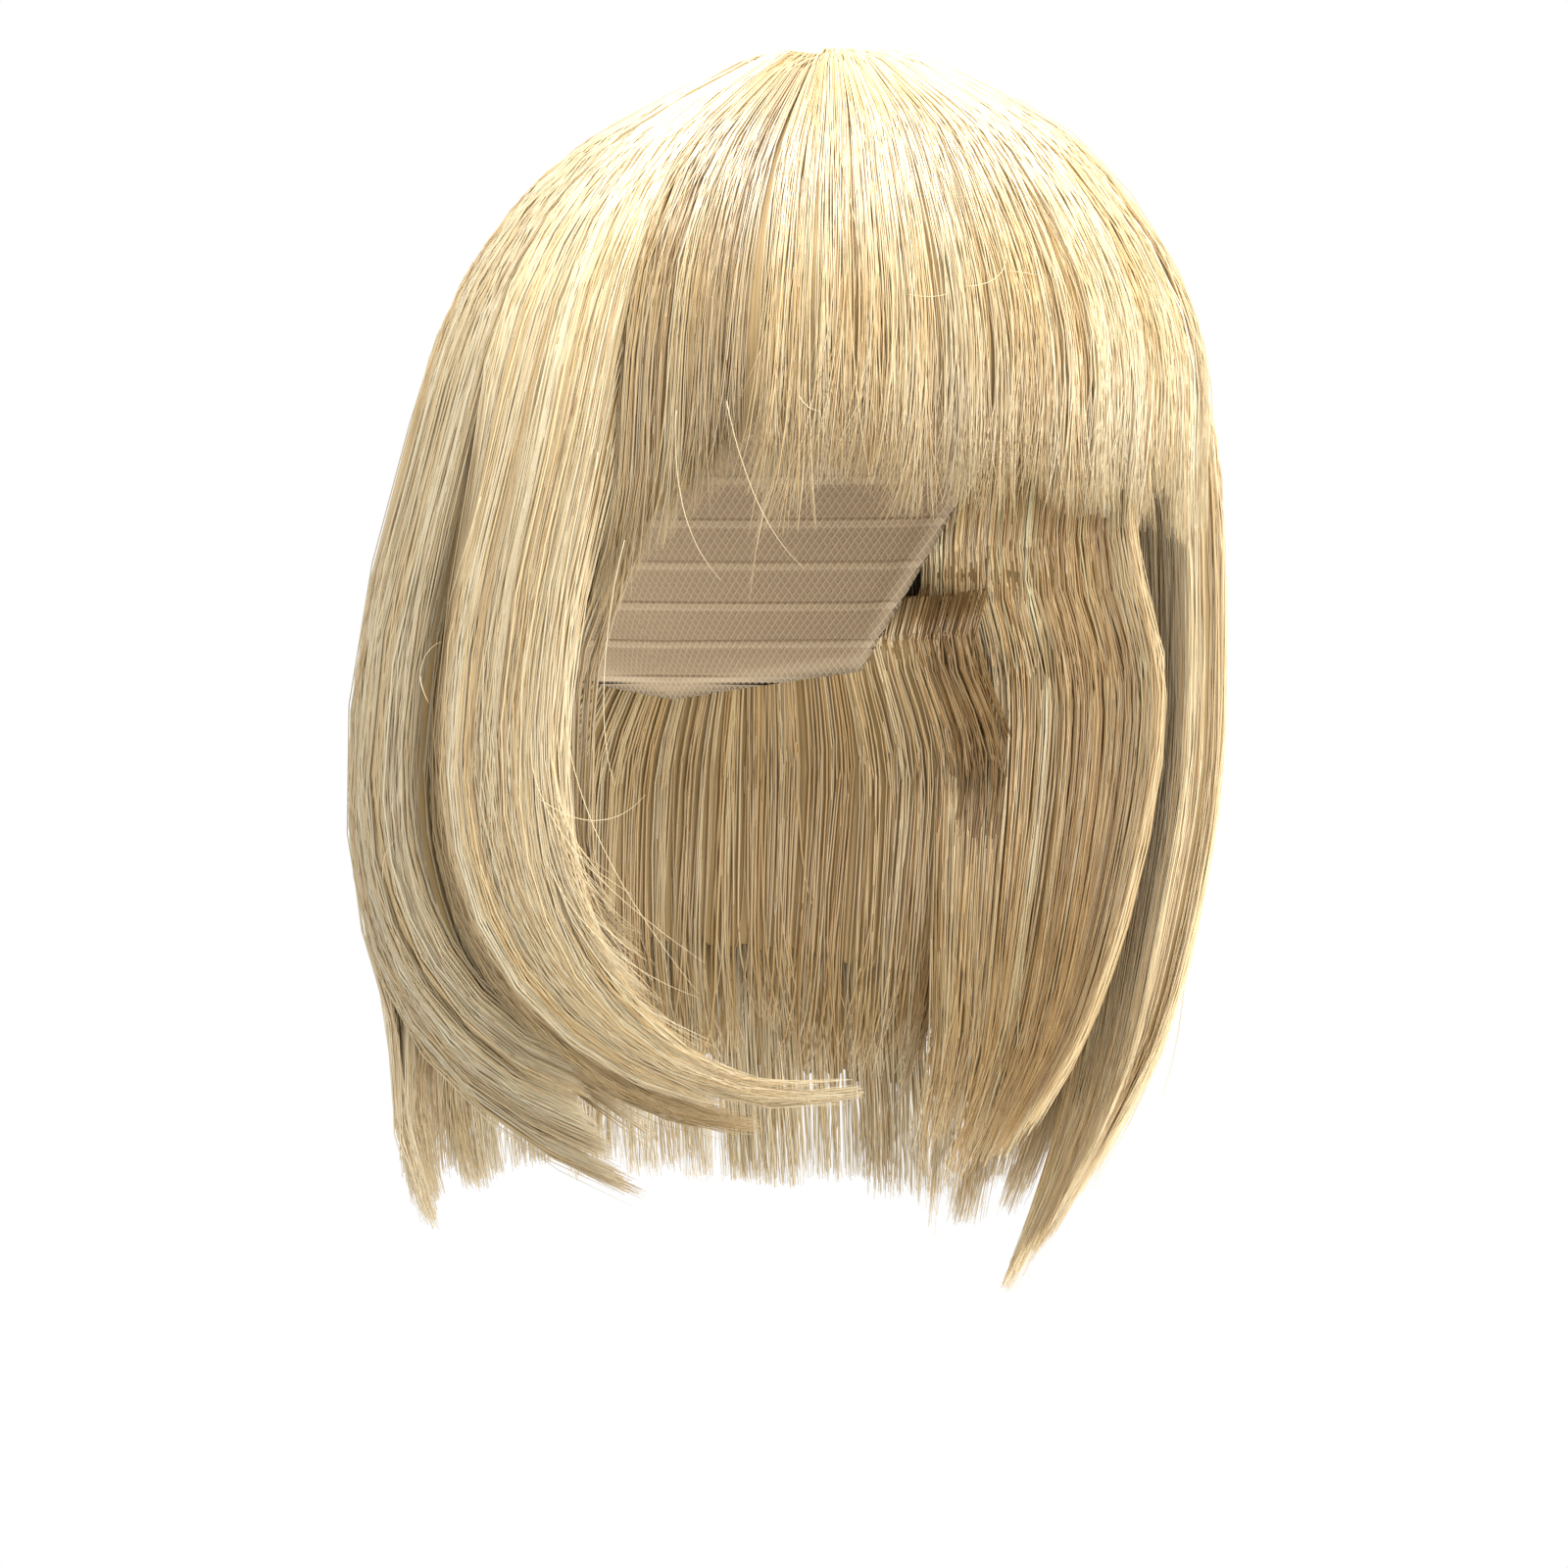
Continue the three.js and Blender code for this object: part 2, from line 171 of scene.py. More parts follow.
# Level sections of the skin from the whorl down. The columns are the drop as a share of HAIR.drop, the half
# width as a share of HAIR.half_width, and the half depth and the middle's place behind the origin, both as
# shares of HAIR.half_depth.
SKIN_ROWS = (
    (0.007, 0.0, 0.0, -0.133),
    (0.0, 0.095, 0.083, -0.133),
    (0.003, 0.199, 0.175, -0.129),
    (0.029, 0.341, 0.333, -0.117),
    (0.072, 0.53, 0.565, -0.085),
    (0.113, 0.65, 0.7, -0.064),
    (0.192, 0.79, 0.86, -0.048),
    (0.278, 0.875, 0.943, -0.04),
    (0.368, 0.929, 0.975, -0.022),
    (0.45, 0.972, 0.992, 0.025),
    (0.536, 0.995, 1.0, 0.058),
    (0.622, 1.0, 0.996, 0.083),
    (0.708, 0.976, 0.967, 0.108),
    (0.79, 0.924, 0.925, 0.117),
    (0.873, 0.825, 0.846, 0.1),
    (0.938, 0.701, 0.75, 0.075),
    (1.0, 0.569, 0.65, 0.05),
)


class Skin:
    """The hair's outer skin: its points, normals and reach at any bearing and run down from the whorl."""

    turn_step = 1.0
    run_step = 2.0
    run_end = 470.0
    splits = 10
    tail = 60
    least_gap = 1e-4
    least_reach = 0.5

    def __init__(self) -> None:
        """Works out the skin on a fine grid of bearings and runs."""
        bearings = np.arange(0, 360 + self.turn_step / 2, self.turn_step)
        runs = np.arange(0, self.run_end + 1, self.run_step)
        self.points = np.stack([self._profile(b, runs) for b in bearings])
        across = np.gradient(self.points, np.radians(self.turn_step), axis=0)
        across[0] = across[-1] = (self.points[1] - self.points[-2]) / np.radians(2 * self.turn_step)
        down = np.gradient(self.points, self.run_step, axis=1)
        self.normals = unit(np.cross(down, across))
        self.reaches = np.linalg.norm(across, axis=-1)

    def _profile(self, bearing: float, runs: Array) -> Array:
        """The skin's profile at one bearing.

        Args:
            bearing: Degrees from the front.
            runs: Runs down from the whorl.

        Returns:
            A point for each run.
        """
        angle = math.radians(bearing)
        rows = np.array(SKIN_ROWS)
        knots = np.stack([
            rows[:, 1] * HAIR.half_width * math.sin(angle),
            (rows[:, 3] - rows[:, 2] * math.cos(angle)) * HAIR.half_depth,
            HAIR.rise - rows[:, 0] * HAIR.drop,
        ], -1)
        line = self._catmull(np.vstack([2 * knots[0] - knots[1], knots, 2 * knots[-1] - knots[-2]]))
        line = np.vstack([line, line[-1] + (line[-1] - line[-2]) * self.tail])
        length = np.concatenate([[0], np.cumsum(np.linalg.norm(np.diff(line, axis=0), axis=1))])
        return np.stack([np.interp(runs, length, line[:, i]) for i in range(3)], -1)

    def _catmull(self, knots: Array) -> Array:
        """A centripetal Catmull-Rom line through all the knots but the first and last.

        Args:
            knots: The knots, with one more at each end.

        Returns:
            The line's points.
        """
        a, b, c, d = knots[:-3], knots[1:-2], knots[2:-1], knots[3:]
        spans = [np.linalg.norm(q - p, axis=1)[:, None] for p, q in ((a, b), (b, c), (c, d))]
        gaps = [np.maximum(span, self.least_gap) ** 0.5 for span in spans]
        first = ((b - a) / gaps[0] - (c - a) / (gaps[0] + gaps[1]) + (c - b) / gaps[1]) * gaps[1]
        last = ((c - b) / gaps[1] - (d - b) / (gaps[1] + gaps[2]) + (d - c) / gaps[2]) * gaps[1]
        share = (np.arange(self.splits) / self.splits)[None, :, None]
        b, c, first, last = b[:, None], c[:, None], first[:, None], last[:, None]
        cubic = (b + first * share + (-3 * b + 3 * c - 2 * first - last) * share**2
                 + (2 * b - 2 * c + first + last) * share**3)
        return np.vstack([cubic.reshape(-1, 3), knots[-2]])

    def read(self, bearing: Array, run: Array) -> tuple[Array, Array, Array]:
        """The skin at bearings and runs.

        Args:
            bearing: Degrees from the front.
            run: Runs down from the whorl.

        Returns:
            The points, the unit normals and the length of one radian of bearing there.
        """
        bearing, run = np.broadcast_arrays(bearing, run)
        across = np.mod(bearing, 360) / self.turn_step
        down = np.clip(run, 0, self.run_end - self.run_step) / self.run_step
        i, j = np.floor(across).astype(int), np.floor(down).astype(int)
        u, v = across - i, down - j

        def blend(grid: Array) -> Array:
            """Reads a grid between the four points around each place."""
            weights = [(1 - u) * (1 - v), u * (1 - v), (1 - u) * v, u * v]
            if grid.ndim == 3:
                weights = [w[..., None] for w in weights]
            corners = (grid[i, j], grid[i + 1, j], grid[i, j + 1], grid[i + 1, j + 1])
            return sum(w * c for w, c in zip(weights, corners))

        reach = np.maximum(blend(self.reaches), self.least_reach)
        return blend(self.points), unit(blend(self.normals)), reach

    def run_at_drop(self, bearing: Array, drop: Array) -> Array:
        """The run from the whorl at which the skin has dropped to a level.

        Args:
            bearing: Degrees from the front.
            drop: The level, below the top of the head.

        Returns:
            The runs.
        """
        bearing, drop = np.broadcast_arrays(bearing, drop)
        rows = np.mod(np.round(bearing / self.turn_step).astype(int), 360).ravel()
        runs = np.arange(self.points.shape[1]) * self.run_step
        falls = np.maximum.accumulate(-self.points[..., 2], axis=1)
        found = [np.interp(level, falls[row], runs) for row, level in zip(rows, drop.ravel())]
        return np.array(found).reshape(bearing.shape)


SKIN = Skin()


def depth_to_cap(points: Array, normals: Array) -> Array:
    """How far in from the skin the cap's outside lies, along the skin's normal.

    Args:
        points: Points of the skin.
        normals: Their outward normals.

    Returns:
        The depths, or a long one where the normal misses the cap.
    """
    far_limit, halvings = 45.0, 18
    seat = HEAD.cap_wall + HEAD.seat_gap
    near = np.zeros(points.shape[:-1])
    far = np.full(points.shape[:-1], far_limit)
    missed = HEAD.share(points - normals * far_limit, seat) > 1
    for _ in range(halvings):
        half = (near + far) / 2
        outside = HEAD.share(points - normals * half[..., None], seat) > 1
        near, far = np.where(outside, half, near), np.where(outside, far, half)
    return np.where(missed, far_limit, near)


@dataclass(frozen=True)
class Sweep:
    """Hair that shares one course down the skin.

    start and end are bearings in degrees. long is a share of HAIR.strand_length, and slant how much more of
    it the edge at end has. Past curl, a share of the length, the course turns forward by turn degrees, narrows
    by gather, and lifts off the skin by flick, a share of HAIR.half_width.
    """

    start: float
    end: float
    long: float
    slant: float
    curl: float
    turn: float
    gather: float
    flick: float

    steps = 160
    overrun = 1.15
    turn_limit = 1.1
    turn_power = 1.4
    least_run = 2.0

    @property
    def length(self) -> float:
        """The strand's length in millimetres."""
        return self.long * HAIR.strand_length

    def course(self) -> Array:
        """The sweep's middle line.

        Returns:
            Rows of length so far, bearing, run and heading.
        """
        middle = (self.start + self.end) / 2
        step = self.length / self.steps
        lean = -1 if middle > 0 else 1
        bearing, run, rows = middle, 0.0, []
        for i in range(int(self.steps * self.overrun) + 1):
            past = min(max((i / self.steps - self.curl) / (1 - self.curl), 0), self.turn_limit)
            heading = lean * math.radians(self.turn) * past**self.turn_power
            rows.append((i * step, bearing, run, heading))
            reach = float(SKIN.read(np.array(bearing), np.array(max(run, self.least_run)))[2])
            bearing += math.degrees(math.sin(heading) * step / reach)
            run += math.cos(heading) * step
        return np.array(rows)


SWEEPS = {
    "fringe": Sweep(-42, 42, 0.515, 0, 0.7, 0, 0, -0.05),
    "temple_right": Sweep(-66, -42, 0.57, -0.19, 0.5, 0, 0, -0.11),
    "temple_left": Sweep(42, 66, 0.51, 0.115, 0.5, 0, 0, -0.11),
    "side_right": Sweep(-93, -66, 1.135, 0, 0.56, 96, 0.72, 0.0),
    "rear_right": Sweep(-125, -93, 1.1, 0, 0.63, 80, 0.2, -0.06),
    "side_left": Sweep(66, 93, 1.15, 0, 0.55, 36, 0.1, 0.0),
    "rear_left": Sweep(93, 125, 1.1, 0, 0.6, 24, 0.06, -0.03),
    "back": Sweep(125, 235, 1.07, 0, 0.86, 0, 0, 0.2),
    "under_right": Sweep(-120, -68, 0.98, 0, 0.62, 56, 0.3, -0.04),
    "under_left": Sweep(68, 120, 1.01, 0, 0.6, 20, 0, -0.04),
    "nape": Sweep(120, 240, 0.98, 0, 0.8, 0, 0, 0.02),
}


@dataclass(frozen=True)
class Lock:
    """One lock of a sweep.

    start and end are shares of the sweep's width, wall and inset shares of HAIR.curtain_wall. root is the
    level where an inner layer starts, as a share of HEAD.nape_rim. sink is how far, in millimetres, the start
    edge falls back below the lock beside it once it hangs free; the strands there are darkened with it, as
    painted shade.
    """

    name: str
    sweep: str
    start: float
    end: float
    ribs: int
    wall: float
    inset: float
    root: float = 0.0
    sink: float = 0.0

    @property
    def layered(self) -> bool:
        """Whether it is an inner layer that starts on the cap's side."""
        return self.root > 0


LOCKS = (
    Lock("fringe_lock_right", "fringe", 0, 0.34, 3, 0.8, 0),
    Lock("fringe_lock_centre", "fringe", 0.34, 0.66, 3, 0.8, 0.06),
    Lock("fringe_lock_left", "fringe", 0.66, 1, 3, 0.8, 0),
    Lock("temple_lock_right", "temple_right", 0, 1, 3, 0.6, 0.12),
    Lock("temple_lock_left", "temple_left", 0, 1, 3, 0.6, 0.12),
    Lock("side_lock_right_middle", "side_right", 0, 0.54, 2, 1, 0.1, sink=6.5),
    Lock("side_lock_right_front", "side_right", 0.54, 1, 2, 1.1, 0, sink=1.5),
    Lock("rear_lock_right", "rear_right", 0, 1, 3, 1.1, 0),
    Lock("side_lock_left_front", "side_left", 0, 0.5, 2, 1, 0),
    Lock("side_lock_left_middle", "side_left", 0.5, 1, 2, 1, 0.08, sink=1.5),
    Lock("rear_lock_left", "rear_left", 0, 1, 3, 1, 0, sink=2),
    Lock("back_lock_left", "back", 0, 0.26, 3, 1, 0.05),
    Lock("back_lock_centre_left", "back", 0.26, 0.5, 2, 1, 0),
    Lock("back_lock_centre_right", "back", 0.5, 0.74, 2, 1, 0.06),
    Lock("back_lock_right", "back", 0.74, 1, 3, 1, 0),
    Lock("under_layer_right", "under_right", 0, 1, 4, 0.45, 1.4, 0.568),
    Lock("under_layer_left", "under_left", 0, 1, 4, 0.45, 1.4, 0.568),
    Lock("nape_layer", "nape", 0, 1, 8, 0.5, 1.5, 0.757),
)


class LockForm:
    """The shape of one lock, as places on the skin and the depths of its two faces."""

    sink_width = (0.45, 0.8)
    sink_edge = 1.15
    sink_start = 120
    sink_run = 80
    sink_growth = (0.8, 1.25)
    sink_length = 350
    flick_power = 1.3
    thin_from = 0.72
    settle_run = 60
    release_run = 20

    def __init__(self, lock: Lock) -> None:
        """Works out the course that the lock follows.

        Args:
            lock: The lock's facts.
        """
        self.lock = lock
        self.sweep = SWEEPS[lock.sweep]
        self.course = self.sweep.course()

    def first(self, share: Array) -> Array:
        """Where along its length a strand leaves the whorl or the cap.

        Args:
            share: Places across the sweep.

        Returns:
            Lengths from the whorl.
        """
        if not self.lock.layered:
            return np.full(np.shape(share), HAIR.whorl_radius)
        bearing = mix(self.sweep.start, self.sweep.end, np.asarray(share))
        return SKIN.run_at_drop(bearing, np.array(self.lock.root * HEAD.nape_rim))

    def last(self, share: Array) -> Array:
        """The full length from the whorl of strands at places across the sweep."""
        return self.sweep.length * (1 + self.sweep.slant * np.asarray(share))

    def sunk(self, share: Array, along: Array) -> Array:
        """How deep the lock's start edge has fallen back.

        Args:
            share: Places across the sweep.
            along: Lengths from the whorl.

        Returns:
            Depths in millimetres.
        """
        place = (share - self.lock.start) / (self.lock.end - self.lock.start)
        width = mix(*self.sink_width, along / self.sweep.length)
        edge = smooth(self.sink_edge - place / width)
        growth = mix(*self.sink_growth, along / self.sink_length)
        return self.lock.sink * edge * smooth((along - self.sink_start) / self.sink_run) * growth

    def read(self, share: Array, along: Array) -> tuple[Array, Array, Array, Array]:
        """The lock at places across its sweep and along its length.

        Args:
            share: Places across the sweep, 0 to 1.
            along: Lengths from the whorl.

        Returns:
            Points of the skin, their normals, and how deep the lock's outer and inner faces lie below them.
        """
        share, along = np.broadcast_arrays(share, along)
        sweep, lock = self.sweep, self.lock
        bearing, run, heading = (np.interp(along, self.course[:, 0], self.course[:, i]) for i in (1, 2, 3))
        reach = SKIN.read(bearing, run)[2]
        late = smooth((along / sweep.length - sweep.curl) / (1 - sweep.curl))
        span = math.radians(sweep.end - sweep.start) * reach * (1 - sweep.gather * late * late)
        offset = (share - 0.5) * span
        side = bearing + np.degrees(offset * np.cos(heading) / reach)
        point, normal, _ = SKIN.read(side, run - offset * np.sin(heading))
        depth = depth_to_cap(point, normal)
        flick = sweep.flick * HAIR.half_width * late**self.flick_power
        set_in = lock.inset * HAIR.curtain_wall
        free_wall = lock.wall * HAIR.curtain_wall
        thinned = smooth((along / sweep.length - self.thin_from) / (1 - self.thin_from))
        hung = mix(free_wall, HAIR.tip_wall, thinned)
        if lock.layered:
            settled = smooth((along - self.first(share)) / self.settle_run)
            face = np.minimum(mix(depth - free_wall, set_in, settled) - flick, depth - hung)
            return point, normal, face, face + hung
        free = smooth((-point[..., 2] - HEAD.release(side)) / self.release_run)
        wall = np.minimum(mix(depth, set_in + hung, free) - flick, depth)
        face = np.minimum(set_in - flick + self.sunk(share, along), wall - HAIR.tip_wall)
        return point, normal, face, wall


class MeshMaker:
    """Makes a mesh object from arrays of points and faces."""

    @staticmethod
    def quads(name: str, points: Array, quads: Array, caps: Array | None = None) -> bpy.types.Object:
        """A mesh object of four-sided faces, with three-sided caps if there are any.

        Args:
            name: The object's name.
            points: Its points in millimetres.
            quads: Rows of four indices.
            caps: Rows of three indices.

        Returns:
            The new object, linked to the scene.
        """
        caps = np.zeros((0, 3), int) if caps is None else caps
        mesh = bpy.data.meshes.new(name)
        mesh.vertices.add(len(points))
        mesh.vertices.foreach_set("co", (points * MM).astype(np.float32).ravel())
        loops = np.concatenate([quads.ravel(), caps.ravel()]).astype(np.int32)
        mesh.loops.add(len(loops))
        mesh.loops.foreach_set("vertex_index", loops)
        starts = np.concatenate([np.arange(len(quads)) * 4, len(quads) * 4 + np.arange(len(caps)) * 3])
        mesh.polygons.add(len(starts))
        mesh.polygons.foreach_set("loop_start", starts.astype(np.int32))
        mesh.update(calc_edges=True)
        mesh.shade_smooth()
        return MeshMaker.link(name, mesh)

    @staticmethod
    def link(name: str, mesh: bpy.types.Mesh) -> bpy.types.Object:
        """Puts a mesh in the scene.

        Args:
            name: The object's name.
            mesh: Its mesh.

        Returns:
            The new object.
        """
        made = bpy.data.objects.new(name, mesh)
        bpy.context.scene.collection.objects.link(made)
        return made

    @staticmethod
    def shaped(name: str, work: bmesh.types.BMesh) -> bpy.types.Object:
        """Puts a finished bmesh in the scene and frees it.

        Args:
            name: The object's name.
            work: The bmesh.

        Returns:
            The new object.
        """
        mesh = bpy.data.meshes.new(name)
        work.to_mesh(mesh)
        work.free()
        return MeshMaker.link(name, mesh)

    @staticmethod
    def uv(made: bpy.types.Object, name: str, places: Array) -> None:
        """Gives a mesh a UV map, from a pair for each loop."""
        layer = made.data.uv_layers.new(name=name)
        layer.data.foreach_set("uv", places.astype(np.float32).ravel())


class Tone(Enum):
    """The fibre colours that are blended in this hair, as linear colours."""

    CREAM = (0.78, 0.64, 0.385)
    PALE = (0.88, 0.79, 0.57)
    GOLD = (0.7, 0.5, 0.235)
    ASH = (0.62, 0.51, 0.325)
    HONEY = (0.5, 0.32, 0.135)


class Node:
    """A shader socket with arithmetic, so that shader maths reads as maths."""

    def __init__(self, tree: bpy.types.NodeTree, socket: bpy.types.NodeSocket) -> None:
        """Wraps an output socket of a node tree."""
        self.tree = tree
        self.socket = socket

    def _put(self, target: bpy.types.NodeSocket, value: "Node | float | tuple") -> None:
        """Links or sets one input.

        Args:
            target: The input socket.
            value: Another wrapped socket, or a constant.
        """
        if isinstance(value, Node):
            self.tree.links.new(value.socket, target)
        else:
            target.default_value = value

    def make(self, kind: str, inputs: dict | None = None, output: str | int = 0,
             **settings: object) -> "Node":
        """Makes any other node.

        Args:
            kind: The node's type.
            inputs: Values or wrapped sockets by input name or number.
            output: The output to wrap.
            **settings: The node's own settings.

        Returns:
            The wrapped output.
        """
        node = self.tree.nodes.new(kind)
        for key, value in settings.items():
            setattr(node, key, value)
        for key, value in (inputs or {}).items():
            self._put(node.inputs[key], value)
        return Node(self.tree, node.outputs[output])

    def maths(self, operation: str, a: "Node | float", b: "Node | float") -> "Node":
        """One maths node on two values."""
        return self.make("ShaderNodeMath", {0: a, 1: b}, operation=operation)

    def __add__(self, other: "Node | float") -> "Node":
        """The sum of two values."""
        return self.maths("ADD", self, other)

    def __mul__(self, other: "Node | float") -> "Node":
        """The product of two values."""
        return self.maths("MULTIPLY", self, other)

    __radd__ = __add__
    __rmul__ = __mul__

    def ramp(self, low: float, high: float) -> "Node":
        """Stretches a value from low to high onto 0 to 1."""
        return self.make("ShaderNodeMapRange", {"Value": self, "From Min": low, "From Max": high})

    def blend(self, a: "Node | tuple", b: "Node | tuple") -> "Node":
        """A colour between two others, by this value.

        Args:
            a: The colour at 0.
            b: The colour at 1.

        Returns:
            The wrapped colour.
        """
        node = self.tree.nodes.new("ShaderNodeMix")
        node.data_type = "RGBA"
        for socket, value in zip((node.inputs[0], node.inputs[6], node.inputs[7]), (self, a, b)):
            self._put(socket, value)
        return Node(self.tree, node.outputs[2])

    def feed(self, shader: bpy.types.Node, name: str) -> None:
        """Links this value to a named input of a shader."""
        self.tree.links.new(self.socket, shader.inputs[name])


def rgba(colour: tuple) -> tuple:
    """A linear colour with full alpha."""
    return (*colour, 1.0)


@dataclass(frozen=True)
class Finish:
    """A finish with a Principled shader: the constants that are the same all over."""

    name: str
    roughness: float
    specular: float

    def start(self) -> tuple[bpy.types.Material, bpy.types.Node, Node]:
        """Makes the material and its shader.

        Returns:
            The material, its Principled node and a wrapped UV socket for further nodes.
        """
        made = bpy.data.materials.new(self.name)
        made.use_nodes = True
        shader = made.node_tree.nodes["Principled BSDF"]
        shader.inputs["Roughness"].default_value = self.roughness
        shader.inputs["Specular IOR Level"].default_value = self.specular
        uv = made.node_tree.nodes.new("ShaderNodeUVMap")
        uv.uv_map = "Flow"
        return made, shader, Node(made.node_tree, uv.outputs["UV"])


@dataclass(frozen=True)
class StrandFinish(Finish):
    """Separate fibres, each in the colour that its strand was given."""

    def build(self) -> bpy.types.Material:
        """Makes the material.

        Returns:
            The material.
        """
        made, shader, uv = self.start()
        colour = uv.make("ShaderNodeAttribute", output="Color", attribute_name="hair_colour")
        colour.feed(shader, "Base Color")
        return made


@dataclass(frozen=True)
class MassFinish(Finish):
    """The mass of hair under the strands: fine streaks that run down the lock, in a light and a dark tone.
    Both tones are darker than the strands, as painted shade for the gaps between strands where the mass shows.

    A row of streaks is a scale across and along the lock, and a weight.
    """

    light: tuple
    dark: tuple
    streaks: tuple = ((3600.0, 5.0, 0.55), (1300.0, 3.0, 0.45))
    contrast: tuple = (0.36, 0.64)
    detail: float = 3.0
    relief: float = 0.0006
    relief_strength: float = 0.6

    def build(self) -> bpy.types.Material:
        """Makes the material.

        Returns:
            The material.
        """
        made, shader, uv = self.start()
        rows = []
        for across, along, weight in self.streaks:
            place = uv.make("ShaderNodeMapping", {"Vector": uv, "Scale": (across, along, 1.0)})
            noise = {"Vector": place, "Scale": 1.0, "Detail": self.detail}
            rows.append(uv.make("ShaderNodeTexNoise", noise, noise_dimensions="2D") * weight)
        streak = (rows[0] + rows[1]).ramp(*self.contrast)
        colour = streak.blend(rgba(self.dark), rgba(self.light))
        colour.feed(shader, "Base Color")
        raised = {"Height": streak, "Distance": self.relief, "Strength": self.relief_strength}
        bump = uv.make("ShaderNodeBump", raised, "Normal")
        bump.feed(shader, "Normal")
        return made


@dataclass(frozen=True)
class NetFinish(Finish):
    """The cap's fine net, with rows of stitched weft."""

    light: tuple
    dark: tuple
    mesh_scale: float = 180.0
    row_scale: float = 34.0
    bias: float = 45.0
    thread_edge: tuple = (0.72, 0.98)
    weft_edge: tuple = (0.86, 0.97)
    thread_tone: float = 0.6
    thread_relief: float = 0.4
    relief: float = 0.0004

    def build(self) -> bpy.types.Material:
        """Makes the material.

        Returns:
            The material.
        """
        made, shader, uv = self.start()
        threads = []
        for turn in (math.radians(self.bias), math.radians(-self.bias)):
            place = uv.make("ShaderNodeMapping", {"Vector": uv, "Rotation": (0.0, 0.0, turn)})
            threads.append(uv.make("ShaderNodeTexWave", {"Vector": place, "Scale": self.mesh_scale}, "Fac"))
        thread = uv.maths("MAXIMUM", threads[0], threads[1]).ramp(*self.thread_edge)
        wave = {"Vector": uv, "Scale": self.row_scale}
        rows = uv.make("ShaderNodeTexWave", wave, "Fac", bands_direction="Y")
        weft = rows.ramp(*self.weft_edge)
        shade = thread * self.thread_tone + weft * (1 - self.thread_tone)
        colour = shade.blend(rgba(self.dark), rgba(self.light))
        colour.feed(shader, "Base Color")
        height = thread * self.thread_relief + weft
        bump = uv.make("ShaderNodeBump", {"Height": height, "Distance": self.relief}, "Normal")
        bump.feed(shader, "Normal")
        return made


class LockBody:
    """The smooth body of one lock, which replaces its plain solid and carries the strands."""

    columns_per_degree = 0.7
    row_run = 10.0
    least_cells = 10
    strand_cover = 1.5
    inner_cover = 1.5
    outer_limit = 0.42
    inner_limit = 0.25
    ragged = 1.5
    ragged_pace = 2.3
    side_gap = 0.3
    spread = 0.5
    least_spread = 4
    edge_fall = 14
    groove_run = 80
    rib_groove = 0.7
    edge_groove = 1.2
    closing_from = 0.8
    tip_half = 0.3

    def __init__(self, form: LockForm) -> None:
        """Keeps the lock's form."""
        self.form = form

    def build(self, finish: bpy.types.Material) -> bpy.types.Object:
        """Makes the body.

        Args:
            finish: Its material.

        Returns:
            The body, riding on the part and standing for its solid.
        """
        form, lock = self.form, self.form.lock
        width = (form.sweep.end - form.sweep.start) * (lock.end - lock.start)
        columns = max(int(width * self.columns_per_degree), self.least_cells)
        rows = max(int((form.sweep.length - lock.root * HEAD.nape_rim) / self.row_run), self.least_cells)
        place = np.linspace(0, 1, columns + 1)[None, :]
        share = mix(lock.start, lock.end, place)
        rib = np.abs(np.sin(math.pi * lock.ribs * place))
        notches = self.ragged * (1 + np.sin(np.arange(columns + 1) * self.ragged_pace))
        last = form.last(share) * GROOMS[lock.name].body - notches
        along = mix(form.first(share), last, np.linspace(0, 1, rows + 1)[:, None])
        reach_in = self.side_gap / np.maximum(along * self.spread, self.least_spread)
        share = np.clip(share, lock.start + reach_in, lock.end - reach_in) + 0 * along
        point, normal, outer, inner = form.read(share, along)
        edge = np.clip(1 - np.minimum(place, 1 - place) * self.edge_fall, 0, 1)
        groove = smooth(along / self.groove_run) * ((1 - rib) * self.rib_groove + edge**2 * self.edge_groove)
        wall = inner - outer
        cover = np.minimum(self.strand_cover + groove, wall * self.outer_limit)
        lining = np.minimum(self.inner_cover, wall * self.inner_limit)
        end = smooth((along / last - self.closing_from) / (1 - self.closing_from))
        middle = (outer + inner) / 2
        outer_face = mix(outer + cover, middle - self.tip_half, end)
        inner_face = mix(inner - lining, middle + self.tip_half, end)
        faces = [point - normal * depth[..., None] for depth in (outer_face, inner_face)]
        flow = np.stack([np.broadcast_to(place * width, along.shape), along], -1) * MM
        made = self._close(lock.name + "_body", faces, flow)
        made.data.materials.append(finish)
        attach(made, "root")
        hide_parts(lock.name)
        report(made)
        return made

    @staticmethod
    def _close(name: str, faces: list[Array], flow: Array) -> bpy.types.Object:
        """Bridges two grids of points into one closed mesh.

        Args:
            name: The object's name.
            faces: The outer and the inner grid, in millimetres.
            flow: A pair across and along the lock for each point of a grid.

        Returns:
            The new object.
        """
        rows, columns, _ = faces[0].shape
        work = bmesh.new()
        layer = work.loops.layers.uv.new("Flow")
        place_of = {}
        for points in faces:
            grid = bmesh.ops.create_grid(work, x_segments=columns - 1, y_segments=rows - 1, size=1)
            for vertex, point, pair in zip(grid["verts"], points.reshape(-1, 3), flow.reshape(-1, 2)):
                vertex.co = point * MM
                place_of[vertex] = pair
        bmesh.ops.bridge_loops(work, edges=[edge for edge in work.edges if edge.is_boundary])
        bmesh.ops.recalc_face_normals(work, faces=work.faces)
        for face in work.faces:
            face.smooth = True
            for loop in face.loops:
                loop[layer].uv = place_of[loop.vert]
        return MeshMaker.shaped(name, work)


